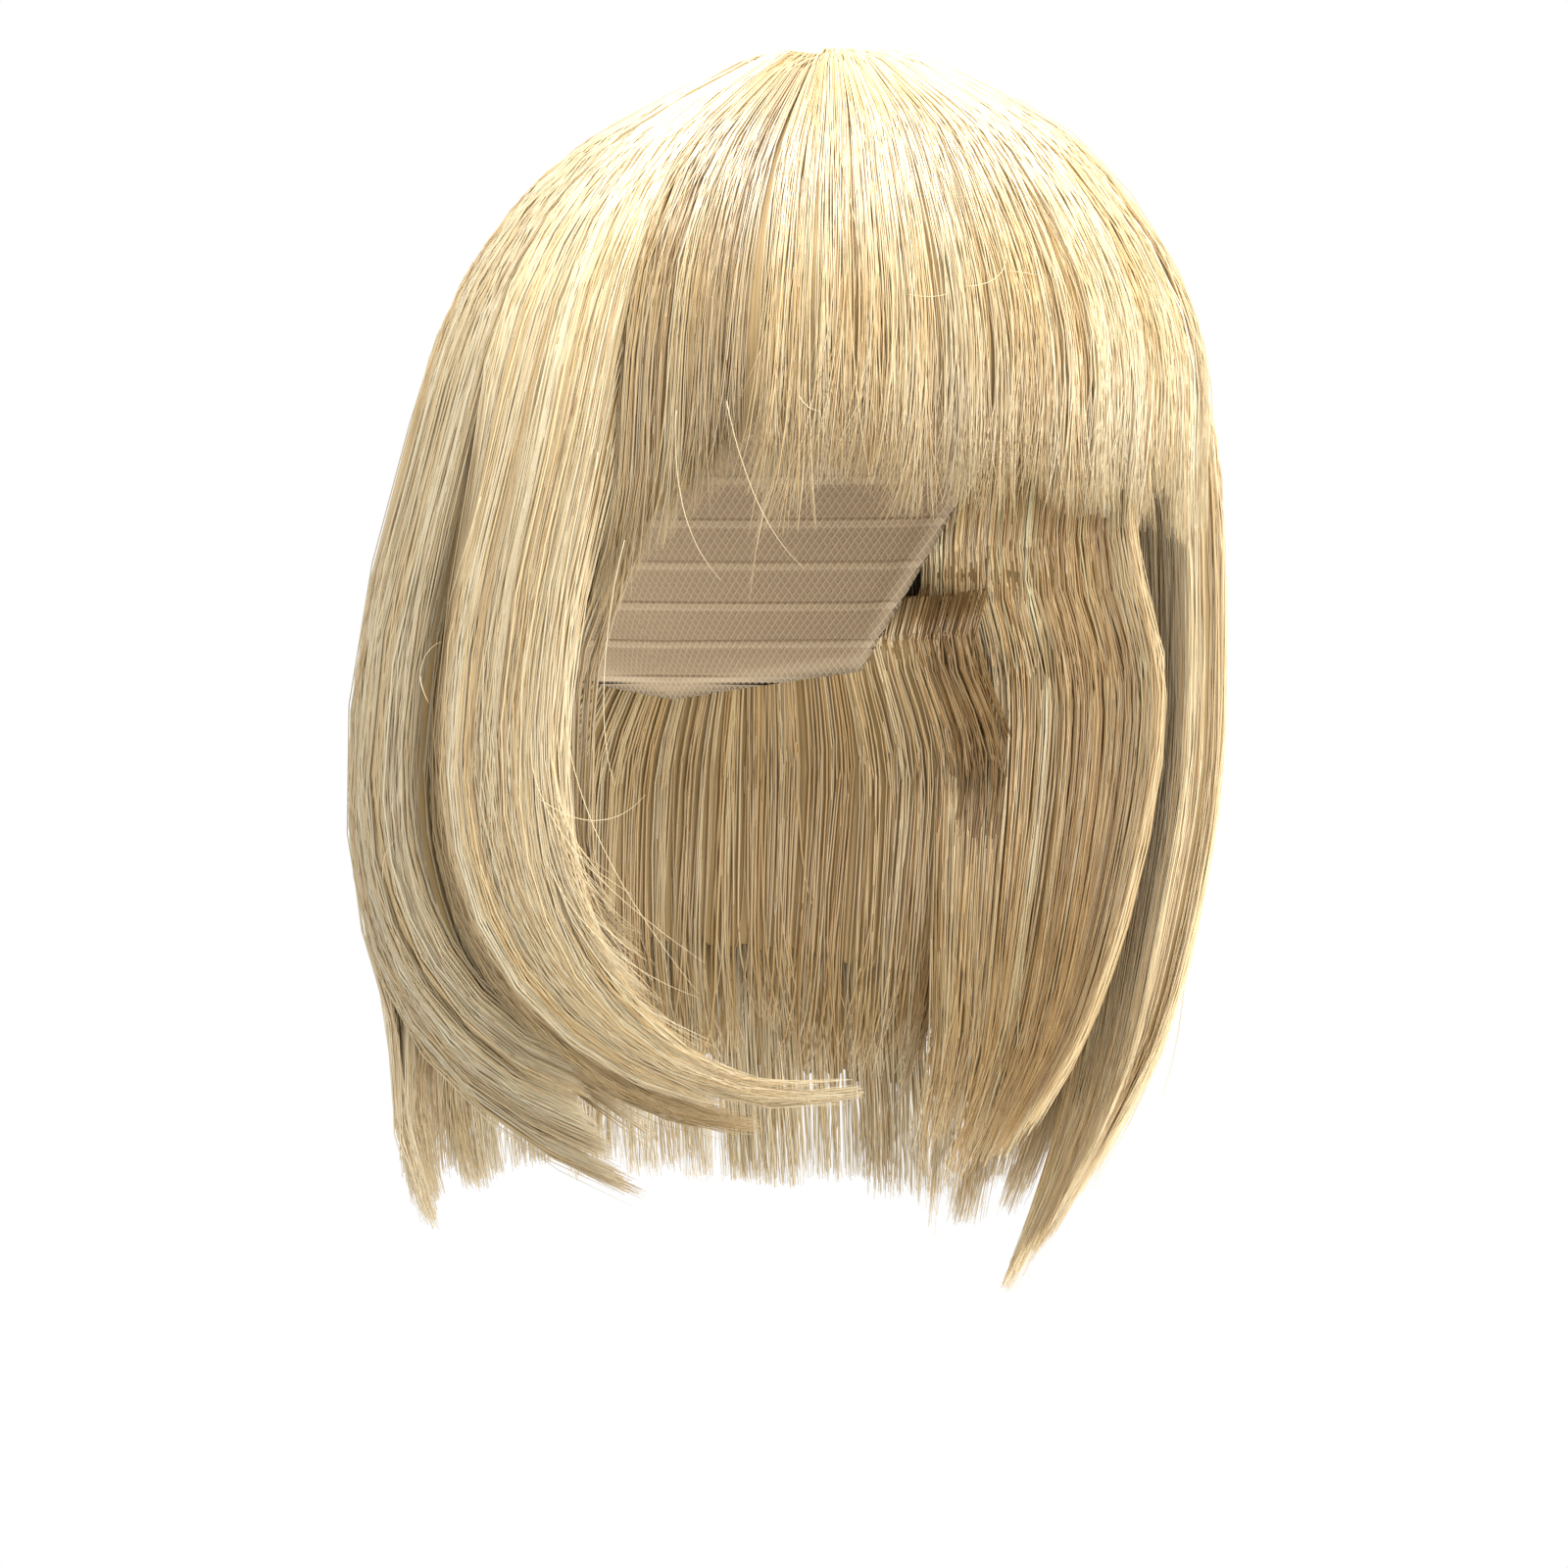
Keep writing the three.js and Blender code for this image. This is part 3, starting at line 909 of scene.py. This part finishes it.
@dataclass(frozen=True)
class Groom:
    """How the strands of one lock lie, with lengths in millimetres.

    Attributes:
        count: The number of strands.
        wisps: The number of bundles that they gather into.
        rings: The number of rings in each strand.
        width: A strand's width.
        scatter: How much shorter strands end.
        reach: How much further than the solid they hang.
        wave: How far they drift sideways.
        stray: How far they stand off.
        clump: How much of a bundle closes up by its tip.
        fan: How far the very tips spread again.
        layering: How much shorter the end edge is cut, or the start edge where it is negative.
        depth: How far below the lock's face the lowest strands lie.
        rounding: How much deeper a bundle's edges lie than its middle.
        inner: The share of strands on the inner face.
        rim: The share of strands around the edges.
        body: The share of the lock's length at which its body ends.
        point: How much of the lock's width closes to one tip.
        barbs: The share of strands that end early and stand out from the end edge.
        tones: The weight of each Tone, in their order.
        shade: What the colours are multiplied by: painted light and shade for the whole lock, below 1 for
            locks that lie recessed or in shade and above 1 for those that the lamps reach little.
        overlap: How far strands lie beyond the lock's edges, as a share of its width.
    """

    count: int
    wisps: int
    rings: int = 16
    width: float = 0.5
    scatter: float = 9.0
    reach: float = 0.0
    wave: float = 1.6
    stray: float = 0.5
    clump: float = 0.3
    fan: float = 1.2
    layering: float = 0.0
    depth: float = 2.2
    rounding: float = 0.6
    inner: float = 0.0
    rim: float = 0.06
    body: float = 0.95
    point: float = 0.0
    barbs: float = 0.0
    tones: tuple = (0.42, 0.16, 0.2, 0.16, 0.06)
    shade: float = 1.0
    overlap: float = 0.035


GOLDEN = (0.38, 0.12, 0.34, 0.08, 0.08)
ASHEN = (0.36, 0.1, 0.18, 0.32, 0.04)
DEEP = (0.26, 0.04, 0.32, 0.2, 0.18)

# A groom's shade is painted light and shade over the whole lock: below 1 it darkens the fringe, the near
# temple, the near rear lock and the near under layer, and above 1 it lightens the far side's locks, which the
# lamps reach little.
FRINGE = Groom(820, 9, 12, 0.46, 14, 7, 2.4, 0.7, 0.5, 3.2, tones=GOLDEN, shade=0.95, body=0.9)
BACK = Groom(510, 7, 13, 0.68, 8, 5, 2.2, clump=0.16, fan=2, inner=0.34, body=0.94)

GROOMS = {
    "fringe_lock_right": FRINGE,
    "fringe_lock_centre": replace(FRINGE, count=780, wisps=8, reach=8),
    "fringe_lock_left": replace(FRINGE, count=760, reach=8),
    "temple_lock_right": Groom(500, 6, 12, 0.46, 8, 7, 1.8, 0.5, 0.4, 2, rim=0.1, tones=DEEP, shade=0.83,
                               body=0.97),
    "temple_lock_left": Groom(300, 5, 12, 0.46, 12, -8, 1.8, 0.5, 0.4, 2, rim=0.1, body=0.82),
    "side_lock_right_middle": Groom(760, 8, 17, 0.46, 14, -20, 2.0, fan=3, tones=ASHEN, body=0.87),
    "side_lock_right_front": Groom(900, 9, 17, 0.46, 15, 12, 2.0, 0.5, 0.18, 2.2, 60, inner=0.06, rim=0.08,
                                   body=0.8, point=0.72, barbs=0.07),
    "rear_lock_right": Groom(880, 10, 16, 0.52, 8, 2, 2.0, fan=2, tones=ASHEN, shade=0.82),
    "side_lock_left_front": Groom(720, 7, 15, 0.48, 18, -6, 2.0, 0.5, 0.25, 2.8, -50, inner=0.4, rim=0.14,
                                  body=0.86, point=0.15, shade=1.2),
    "side_lock_left_middle": Groom(600, 6, 15, 0.5, 16, -2, 2.0, inner=0.45, body=0.93, shade=1.2),
    "rear_lock_left": Groom(740, 9, 15, 0.52, 14, 6, 2.0, fan=3, inner=0.4, rim=0.12, body=0.92, shade=1.08),
    "back_lock_left": replace(BACK, count=580, wisps=8),
    "back_lock_centre_left": BACK,
    "back_lock_centre_right": BACK,
    "back_lock_right": Groom(620, 8, 14, 0.64, 10, 4, 2.4, 0.6, clump=0.2, fan=2.5, inner=0.3, body=0.94),
    "under_layer_right": Groom(360, 9, 11, 0.62, 14, 10, 2.2, inner=0.5, fan=3, tones=DEEP, shade=0.9,
                               overlap=0.09),
    "under_layer_left": Groom(620, 10, 11, 0.6, 20, 26, 2.2, inner=0.6, fan=4, tones=DEEP, shade=1.28,
                              body=0.94, overlap=0.06),
    "nape_layer": Groom(940, 15, 11, 0.66, 18, 22, 2.6, inner=0.55, fan=4, tones=DEEP, body=0.95,
                        overlap=0.11),
}


class StrandGrower:
    """Grows the strands of one lock along its form."""

    arc = 95.0
    fly_share = 0.025
    fly_lift = 2.2
    fly_bow = 1.1
    cut_stand = 5.0
    cut_spread = (0.25, 1)
    tip_place = 0.4
    wisp_shift = 0.35
    wisp_short = (-0.35, 0.7)
    own_short = 0.45
    barb_band = 0.05
    barb_spring = (3, 12)
    barb_short = (5, 45)
    root_start = 0.4
    shift_fade = 3
    ring_places = ((0, 0.45, 0.62, 1), (0, 0.42, 0.68, 1))

    # What each sideways drift is of the groom's wave, and how fast it sways
    wisp_drift = 0.7
    own_drift = 0.5
    sway_drift = 0.3
    edge_drift = 0.3
    paces = (0.5, 1.5)

    # Powers of the travel: a high one keeps a change close to the tip
    spring_power = 14
    clump_power = 1.6
    point_power = 5
    drift_power = 1.5
    tip_power = 9
    lift_power = 2.2

    # Depths below the lock's faces
    level_power = 0.85
    level_wave = 0.4
    level_phase = 1.7
    round_run = 90
    inner_level = 0.4
    inner_round = 0.3
    rim_depths = (0.05, 1)
    above = 5
    below = 0.2

    taper = ((0, 0.08, 0.85, 1), (0.6, 1, 0.9, 0.22))
    width_spread = (0.7, 1.25)

    # Colours, with painted shade that darkens strands lying deeper below the lock's face, at a lock's sunken
    # start edge and at the bundles' edges, and a painted highlight near the roots
    bundle_tone = 0.35
    tone_spread = 0.05
    level_painted_shade = 0.4
    sink_painted_shade = 4.4
    inside_painted_shade = 0.4
    beside_painted_shade = 0.12
    # The warm dark tint of the fullest painted shade
    painted_shade_tint = (0.62, 0.54, 0.42)
    # Painted highlight: colours are lighter near the roots, for the sheen on the crown; the tips are a little
    # lighter in the hair's own colour.
    ends = ((0, 0.3, 0.6, 1), (1.14, 1.04, 0.98, 1.06))

    def __init__(self, form: LockForm, groom: Groom, dice: np.random.Generator) -> None:
        """Keeps what the strands follow.

        Args:
            form: The lock's form.
            groom: How its strands lie.
            dice: The seeded source of chance.
        """
        self.form = form
        self.groom = groom
        self.dice = dice
        self.count = groom.count

    def _bundles(self) -> tuple[Array, Array, Array, Array]:
        """Deals the strands out to bundles.

        Returns:
            Each strand's place across the lock, its bundle, the bundle's middle and its distance from that.
        """
        groom, dice = self.groom, self.dice
        shifts = dice.uniform(-self.wisp_shift, self.wisp_shift, groom.wisps - 1)
        inner_edges = (np.arange(1, groom.wisps) + shifts) / groom.wisps
        edges = np.concatenate([[0], inner_edges, [1]])
        place = dice.uniform(-groom.overlap, 1 + groom.overlap, self.count)
        wisp = np.clip(np.searchsorted(edges, place) - 1, 0, groom.wisps - 1)
        middle = ((edges[1:] + edges[:-1]) / 2)[wisp]
        beside = np.abs(place - middle) / ((edges[1:] - edges[:-1]) / 2)[wisp]
        return place, wisp, middle, beside

    def _travel(self) -> Array:
        """Where each strand's rings are, closest where the hair bends, and not level with those beside it.

        Returns:
            Shares of the length for each strand and ring.
        """
        rings = self.groom.rings
        even = np.arange(rings)[None, :] / (rings - 1)
        shift = self.dice.uniform(-0.5, 0.5, (self.count, 1)) / (rings - 1)
        shifted = even + shift * np.minimum(1, self.shift_fade * np.minimum(even, 1 - even))
        return np.interp(shifted, *self.ring_places)

    def grow(self) -> tuple[Array, Array, Array, Array]:
        """Works out the strands.

        Returns:
            Centres, outward normals, half widths and linear colours, for each strand and ring.
        """
        groom, form, dice, count = self.groom, self.form, self.dice, self.count
        lock = form.lock
        span = lock.end - lock.start
        place, wisp, middle, beside = self._bundles()
        travel = self._travel()
        barbed = dice.random((count, 1)) < groom.barbs
        place = np.where(barbed[:, 0], 1 - self.barb_band * dice.random(count), place)
        sprung = barbed * dice.uniform(*self.barb_spring, (count, 1)) * travel**self.spring_power
        cut = place if groom.layering > 0 else 1 - place
        short = dice.exponential(self.own_short, count) + dice.uniform(*self.wisp_short, groom.wisps)[wisp]
        short *= groom.scatter
        short += abs(groom.layering) * np.clip(cut, 0, 1) ** 2 * dice.uniform(*self.cut_spread, count)
        short += barbed[:, 0] * dice.uniform(*self.barb_short, count)
        base = lock.start + place * span
        last = form.last(base) + groom.reach - short
        if lock.layered:
            first = form.first(base)
        else:
            first = dice.uniform(self.root_start, HAIR.whorl_radius, count)
        along = mix(first[:, None], last[:, None], travel)
        width_mm = math.radians(form.sweep.end - form.sweep.start) * self.arc
        closing = groom.clump * travel**self.clump_power * ~barbed
        pointed = groom.point * travel**self.point_power * ~barbed
        fly = np.where(dice.random((count, 1)) < self.fly_share, self.fly_lift, 1.0)
        drift = dice.normal(0, groom.wave * self.wisp_drift, groom.wisps)[wisp][:, None]
        drift = drift * travel**self.drift_power
        drift = drift + dice.normal(0, groom.wave * self.own_drift, (count, 1)) * travel * fly
        phase, pace = dice.uniform(0, 2 * math.pi, (count, 1)), dice.uniform(*self.paces, (count, 1))
        swing = dice.normal(0, groom.wave * self.sway_drift, (count, 1))
        sway = swing * np.sin(2 * math.pi * pace * travel + phase) * travel
        cut_out = math.copysign(self.cut_stand, groom.layering) if groom.layering else 0.0
        tips = (dice.normal(0, groom.fan, (count, 1)) + cut_out * cut[:, None] ** 2) * travel**self.tip_power
        side = (drift + sway * fly + tips + sprung) / width_mm
        lay = mix(mix(place[:, None], middle[:, None], closing), self.tip_place, pointed)
        share = lay * span + lock.start + side
        edged = dice.random(count) < groom.rim
        edge_share = np.where(dice.random(count) < 0.5, lock.start, lock.end)[:, None]
        share = np.where(edged[:, None], edge_share + side * self.edge_drift, share)
        point, normal, outer, inner = form.read(share, along)
        hollow = (beside**2)[:, None] * groom.rounding * smooth(along / self.round_run)
        level = dice.power(self.level_power, count)[:, None] * groom.depth
        level = level + self.level_wave * np.sin(2 * math.pi * travel * pace + phase * self.level_phase)
        lifted = np.abs(dice.normal(0, groom.stray, (count, 1))) * travel**self.lift_power * fly
        lifted = lifted + (fly - 1) * self.fly_bow * np.sin(math.pi * travel) ** 2
        near = outer + level + hollow - lifted
        far = inner - level * self.inner_level - hollow * self.inner_round
        inside = (dice.random(count) < groom.inner)[:, None]
        around = mix(outer, inner, dice.uniform(*self.rim_depths, (count, 1)))
        depth = np.where(edged[:, None], around, np.where(inside, far, near))
        depth = np.clip(depth, outer - self.above, inner + self.below)
        centre = point - normal * depth[..., None]
        half = 0.5 * groom.width * dice.uniform(*self.width_spread, (count, 1))
        half = half * np.interp(travel, *self.taper)
        # Painted shade: the deeper a strand lies below the lock's face, the darker it is.
        deep = np.clip(level / groom.depth, 0, 1) * self.level_painted_shade
        # Painted shade in the sunken gap at a lock's start edge, darker the more the edge has sunk.
        deep = deep + form.sunk(share, along) / self.sink_painted_shade
        # Strands on the inner face get less of the painted shade, as if more light reached them.
        deep = np.where(inside, deep * self.inside_painted_shade, deep)
        return centre, normal, half, self._colour(wisp, deep, travel, beside)

    def _colour(self, wisp: Array, deep: Array, travel: Array, beside: Array) -> Array:
        """The strands' colours, with painted shade and a painted highlight.

        Args:
            wisp: Each strand's bundle.
            deep: The painted shade of each strand at each ring, from 0 to 1, from how deep it lies and how far
                its edge has sunk.
            travel: Shares of the length, for each strand and ring.
            beside: How far from its bundle's middle each strand lies.

        Returns:
            Linear colours for each strand and ring.
        """
        groom, dice = self.groom, self.dice
        tones = np.array([tone.value for tone in Tone])
        chance = np.array(groom.tones) / sum(groom.tones)
        colour = tones[dice.choice(len(tones), self.count, p=chance)]
        bundle = tones[dice.choice(len(tones), groom.wisps, p=chance)][wisp]
        colour = mix(colour, bundle, self.bundle_tone) * dice.normal(1, self.tone_spread, (self.count, 1))
        # Painted shade at the bundles' edges, which lie deeper than their middles.
        deep = np.clip(deep + self.beside_painted_shade * beside[:, None] ** 2, 0, 1)[..., None]
        # Painted highlight near the roots, and slightly lighter tips in the hair's own colour.
        ends = np.interp(travel, *self.ends)[..., None]
        # Painted shade tints the colour towards a warm dark, as far as the strand is shaded.
        dark = 1 - (1 - np.array(self.painted_shade_tint)) * deep
        # Painted light and shade: each lock's colours are scaled by its groom's shade.
        return np.clip(colour[:, None, :] * dark * ends * groom.shade, 0, 1)


class StrandMesh:
    """Joins strands into one mesh of closed three-sided tubes."""

    sides = 3
    cells_across = 64
    cell_fill = 0.9

    def build(self, name: str, strands: tuple[Array, Array, Array, Array], finish: bpy.types.Material,
              slot: str) -> bpy.types.Object:
        """Makes the piece.

        Args:
            name: The piece's name.
            strands: Centres, normals, half widths and colours.
            finish: Its material.
            slot: The record's material slot; it is not used.

        Returns:
            The piece, riding on the part.
        """
        centre, normal, half, colour = strands
        count, rings, _ = centre.shape
        tangent = unit(np.gradient(centre, axis=1))
        side = unit(np.cross(tangent, normal))
        up = np.cross(side, tangent)
        angles = np.radians(90 + np.arange(self.sides) * 360 / self.sides)
        around = [centre + half[..., None] * (math.cos(a) * side + math.sin(a) * up) for a in angles]
        points = np.stack(around, 2).reshape(-1, 3)
        index = np.arange(count * rings * self.sides).reshape(count, rings, self.sides)
        turned = np.roll(index, -1, axis=2)
        quads = np.stack([index[:, :-1], index[:, 1:], turned[:, 1:], turned[:, :-1]], -1).reshape(-1, 4)
        caps = np.concatenate([index[:, 0], index[:, -1][:, ::-1]])
        made = MeshMaker.quads(name, points, quads, caps)
        colours = np.repeat(colour.reshape(-1, 1, 3), self.sides, 1).reshape(-1, 3)
        layer = made.data.color_attributes.new("hair_colour", "FLOAT_COLOR", "POINT")
        opaque = np.column_stack([colours, np.ones(len(colours))])
        layer.data.foreach_set("color", opaque.astype(np.float32).ravel())
        MeshMaker.uv(made, "OFBake", self._cells(count, rings))
        made.data.materials.append(finish)
        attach(made, "root")
        logger.info("%s: %d strands, %d triangles", name, count, len(quads) * 2 + len(caps))
        return made

    def _cells(self, count: int, rings: int) -> Array:
        """A UV map that gives each strand a cell of its own, with its sides beside each other.

        Args:
            count: The number of strands.
            rings: The number of rings in each.

        Returns:
            A pair for each loop.
        """
        rows = math.ceil(count / self.cells_across)
        number = np.arange(count)
        left = (number % self.cells_across) / self.cells_across
        low = (number // self.cells_across) / rows
        wide, tall = self.cell_fill / self.cells_across, self.cell_fill / rows
        steps = np.arange(rings) / (rings - 1)
        sides = np.arange(self.sides + 1) / self.sides
        u = left[:, None, None] + wide * sides[None, None, :] + 0 * steps[None, :, None]
        v = low[:, None, None] + tall * steps[None, :, None] + 0 * sides[None, None, :]
        grid = np.stack([u, v], -1)
        quads = np.stack([grid[:, :-1, :-1], grid[:, 1:, :-1], grid[:, 1:, 1:], grid[:, :-1, 1:]], 3)
        ends = np.concatenate([grid[:, 0, :self.sides], grid[:, -1, self.sides - 1::-1]])
        return np.concatenate([quads.reshape(-1, 2), ends.reshape(-1, 2)])


@dataclass(frozen=True)
class Stray:
    """One loose hair: its bearing, its drop and its lift off the skin at its start, middle and end."""

    bearings: tuple
    drops: tuple
    lifts: tuple


STRAYS = (
    Stray((-62, -57, -43), (145, 177, 219), (1, 3, 4)),
    Stray((-64, -55.5, -43), (187, 207, 220), (1, 3, 4)),
    Stray((-66.5, -60, -42), (157, 182, 212), (1, 4, 3)),
    Stray((-65, -56, -50), (173, 178, 172), (1, 3, 2)),
    Stray((-58, -57, -54), (111, 148, 170), (-2, 0, 2)),
    Stray((-64, -62, -60), (90, 130, 168), (1, 2, 3)),
    Stray((-88, -86, -83.5), (143, 138, 135), (1, 2.5, 2)),
    Stray((-88, -86.5, -85), (143, 146, 150), (1, 2, 1.5)),
    Stray((-83, -82, -84), (100, 113, 126), (1, 2.5, 1)),
    Stray((-97, -94, -91), (193, 187, 183), (1, 2.5, 2)),
    Stray((-22, -19, -16), (53, 54, 53), (0.8, 2, 1.5)),
    Stray((-13.5, -8, -5.5), (51, 49, 41), (0.8, 2.5, 1.5)),
    Stray((-5.5, -3, 0), (47, 48, 48), (0.8, 2, 1)),
    Stray((-37, -35.5, -34), (77, 80, 81), (0.8, 2, 1.5)),
    Stray((-47, -41, -33), (78, 101, 118), (-1, 1, 3)),
    Stray((-54, -50.5, -43), (80, 102, 121), (-1, 1, 3)),
    Stray((74, 66, 58), (196, 226, 246), (0, 3, 5)),
)


class StrayHairs:
    """The loose hairs that cross the locks and hang beside them."""

    rings = 18
    width = 0.26
    taper = ((0, 0.6, 1), (1, 0.9, 0.4))

    def grow(self) -> tuple[Array, Array, Array, Array]:
        """Works out the hairs.

        Returns:
            Centres, outward normals, half widths and linear colours, for each hair and ring.
        """
        t = np.linspace(0, 1, self.rings)
        basis = np.stack([2 * (t - 0.5) * (t - 1), 4 * t * (1 - t), 2 * t * (t - 0.5)])
        bearing, drop, lift = (np.array([getattr(stray, name) for stray in STRAYS]) @ basis
                               for name in ("bearings", "drops", "lifts"))
        point, normal, _ = SKIN.read(bearing, SKIN.run_at_drop(bearing, drop))
        half = 0.5 * self.width * np.interp(t, *self.taper) * np.ones_like(bearing)
        colour = np.broadcast_to(np.array(Tone.CREAM.value), (*bearing.shape, 3))
        return point + normal * lift[..., None], normal, half, colour


@dataclass(frozen=True)
class NetCap:
    """The cap: a thin net dome with a narrow band along its rim."""

    columns: int = 120
    rows: int = 36
    band: float = 0.07
    band_lift: float = 0.5
    band_step: float = 0.012
    rim_slack: float = 1e-4
    behind_from: float = 0.2

    def build(self, finish: bpy.types.Material) -> bpy.types.Object:
        """Makes the cap by folding a sphere's lower half up inside its upper half.

        Args:
            finish: Its material.

        Returns:
            The cap, riding on the part and standing for its solid.
        """
        work = bmesh.new()
        bmesh.ops.create_uvsphere(work, u_segments=self.columns, v_segments=self.rows * 2, radius=1)
        ball = np.array([vertex.co for vertex in work.verts])
        bearing = np.degrees(np.arctan2(ball[:, 0], -ball[:, 1]))
        fall = np.arccos(np.clip(ball[:, 2], -1, 1)) / (math.pi / 2)
        inside = fall > 1 + self.rim_slack
        share = np.where(inside, 2 - fall, fall)
        points, arc = self._surface(bearing, np.clip(share, 0, 1), inside)
        layer = work.loops.layers.uv.new("Flow")
        flow = np.stack([np.radians(bearing) * HEAD.back, arc], -1) * MM
        work.verts.index_update()
        for vertex, point in zip(work.verts, points):
            vertex.co = point * MM
        for face in work.faces:
            face.smooth = True
            turns = [flow[loop.vert.index] for loop in face.loops]
            behind = max(pair[0] for pair in turns) > self.behind_from
            for loop, pair in zip(face.loops, turns):
                wrap = 2 * math.pi * HEAD.back * MM if behind and pair[0] < 0 else 0
                loop[layer].uv = (pair[0] + wrap, pair[1])
        bmesh.ops.recalc_face_normals(work, faces=work.faces)
        made = MeshMaker.shaped("cap_net", work)
        made.data.materials.append(finish)
        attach(made, "root")
        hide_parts("cap")
        report(made)
        return made

    def _surface(self, bearing: Array, share: Array, inside: Array) -> tuple[Array, Array]:
        """The cap's surface.

        Args:
            bearing: Degrees from the front.
            share: How far down from the top to the rim, 0 to 1.
            inside: Whether each point is on the inner face.

        Returns:
            The points, and their distance down from the top along the dome.
        """
        rim = HEAD.rim(bearing)
        swing = np.arccos(np.clip(1 - rim / HEAD.rise, -1, 1))
        beyond = math.pi / 2 + np.arcsin(np.clip((rim - HEAD.rise) / HEAD.fall, 0, 1))
        angle = np.where(rim <= HEAD.rise, swing, beyond) * share
        drop = np.where(angle <= math.pi / 2, HEAD.rise * (1 - np.cos(angle)),
                        HEAD.rise - HEAD.fall * np.cos(angle))
        outer = HEAD.point(bearing, drop - HEAD.cap_wall * (1 - share), HEAD.cap_wall)
        inner = HEAD.point(bearing, drop, 0.0)
        banded = smooth((share - (1 - self.band)) / self.band_step)[:, None]
        outward = unit(inner + np.array([0, 0, HEAD.rise]))
        inner = inner - banded * self.band_lift * outward
        return np.where(inside[:, None], inner, outer), angle * HEAD.rise


@dataclass(frozen=True)
class Lamp:
    """One soft square light, with its place and side in metres and its power in watts."""

    name: str
    place: tuple
    size: float
    power: float


LAMPS = (
    Lamp("top", (-0.1, -0.1, 0.98), 0.8, 24.0),
    Lamp("front", (-0.4, -2.0, -0.25), 1.2, 22.0),
    Lamp("side", (1.1, -1.5, -0.3), 0.9, 13.0),
)


@dataclass(frozen=True)
class Studio:
    """The camera at the photograph's angle, a soft white studio and a pale floor."""

    azimuth: float = -30.0
    distance: float = 2.2
    frame_width: float = 0.394
    sensor: float = 36.0
    aim: tuple = (-5.1, 2.95, -169.7)
    floor_level: float = -0.6
    floor_radius: float = 1.2
    floor_segments: int = 96
    floor_colour: tuple = (0.6, 0.6, 0.59)
    sky_colour: tuple = (1.0, 1.0, 1.0)
    sky_strength: float = 1.0
    lit_point: tuple = (0.0, 0.0, -0.12)

    def build(self) -> None:
        """Makes the camera, the lights and the floor."""
        scene = bpy.context.scene
        scene.view_settings.view_transform = "Standard"
        scene.world = bpy.data.worlds.new("studio")
        scene.world.use_nodes = True
        sky = scene.world.node_tree.nodes["Background"]
        sky.inputs["Color"].default_value = rgba(self.sky_colour)
        sky.inputs["Strength"].default_value = self.sky_strength
        angle = math.radians(self.azimuth)
        aim = Vector(self.aim) * MM
        lens = bpy.data.cameras.new("camera")
        lens.sensor_width = self.sensor
        lens.lens = self.sensor * self.distance / self.frame_width
        camera = bpy.data.objects.new("camera", lens)
        back = Vector((math.sin(angle), -math.cos(angle), 0))
        camera.location = aim + back * self.distance
        camera.rotation_mode = "QUATERNION"
        camera.rotation_quaternion = (-back).to_track_quat("-Z", "Y")
        scene.collection.objects.link(camera)
        scene.camera = camera
        for lamp in LAMPS:
            self._light(lamp)
        self._floor()

    def _light(self, lamp: Lamp) -> None:
        """Makes one soft light that faces the hair.

        Args:
            lamp: Its facts.
        """
        light = bpy.data.lights.new(lamp.name, "AREA")
        light.size, light.energy = lamp.size, lamp.power
        made = bpy.data.objects.new(lamp.name, light)
        made.location = lamp.place
        towards = Vector(self.lit_point) - Vector(lamp.place)
        made.rotation_mode = "QUATERNION"
        made.rotation_quaternion = towards.to_track_quat("-Z", "Y")
        bpy.context.scene.collection.objects.link(made)

    def _floor(self) -> None:
        """Makes the pale floor below the hair."""
        work = bmesh.new()
        bmesh.ops.create_circle(work, cap_ends=True, segments=self.floor_segments, radius=self.floor_radius)
        for vertex in work.verts:
            vertex.co.z = self.floor_level
        floor = MeshMaker.shaped("floor", work)
        paint = bpy.data.materials.new("pale_floor")
        paint.use_nodes = True
        shader = paint.node_tree.nodes["Principled BSDF"]
        shader.inputs["Base Color"].default_value = rgba(self.floor_colour)
        floor.data.materials.append(paint)


class Wig:
    """The whole wig."""

    def build(self) -> None:
        """Makes every piece."""
        # Painted shade: the masses are coloured darker than the strands, as the shade between them, and the
        # inner layers' mass darker still.
        mass = MassFinish("hair_mass", 0.5, 0.35, (0.56, 0.4, 0.19), (0.3, 0.19, 0.075)).build()
        inner = MassFinish("hair_mass_inner", 0.55, 0.3, (0.52, 0.37, 0.18), (0.28, 0.18, 0.07)).build()
        fibre = StrandFinish("hair_strand", 0.34, 1.0).build()
        net = NetFinish("cap_net", 0.8, 0.25, (0.72, 0.58, 0.4), (0.46, 0.35, 0.23)).build()
        NetCap().build(net)
        for number, lock in enumerate(LOCKS):
            form = LockForm(lock)
            LockBody(form).build(inner if lock.layered else mass)
            dice = np.random.default_rng(SEED + number)
            strands = StrandGrower(form, GROOMS[lock.name], dice).grow()
            slot = "hair_shaded" if lock.layered else "hair"
            StrandMesh().build(lock.name + "_strands", strands, fibre, slot)
        StrandMesh().build("stray_hairs", StrayHairs().grow(), fibre, "hair")


def main() -> None:
    """Builds the wig and its studio."""
    logging.basicConfig(level=logging.INFO, format="%(name)s %(message)s")
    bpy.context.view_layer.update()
    Studio().build()
    Wig().build()


if __name__ == "__main__":
    main()
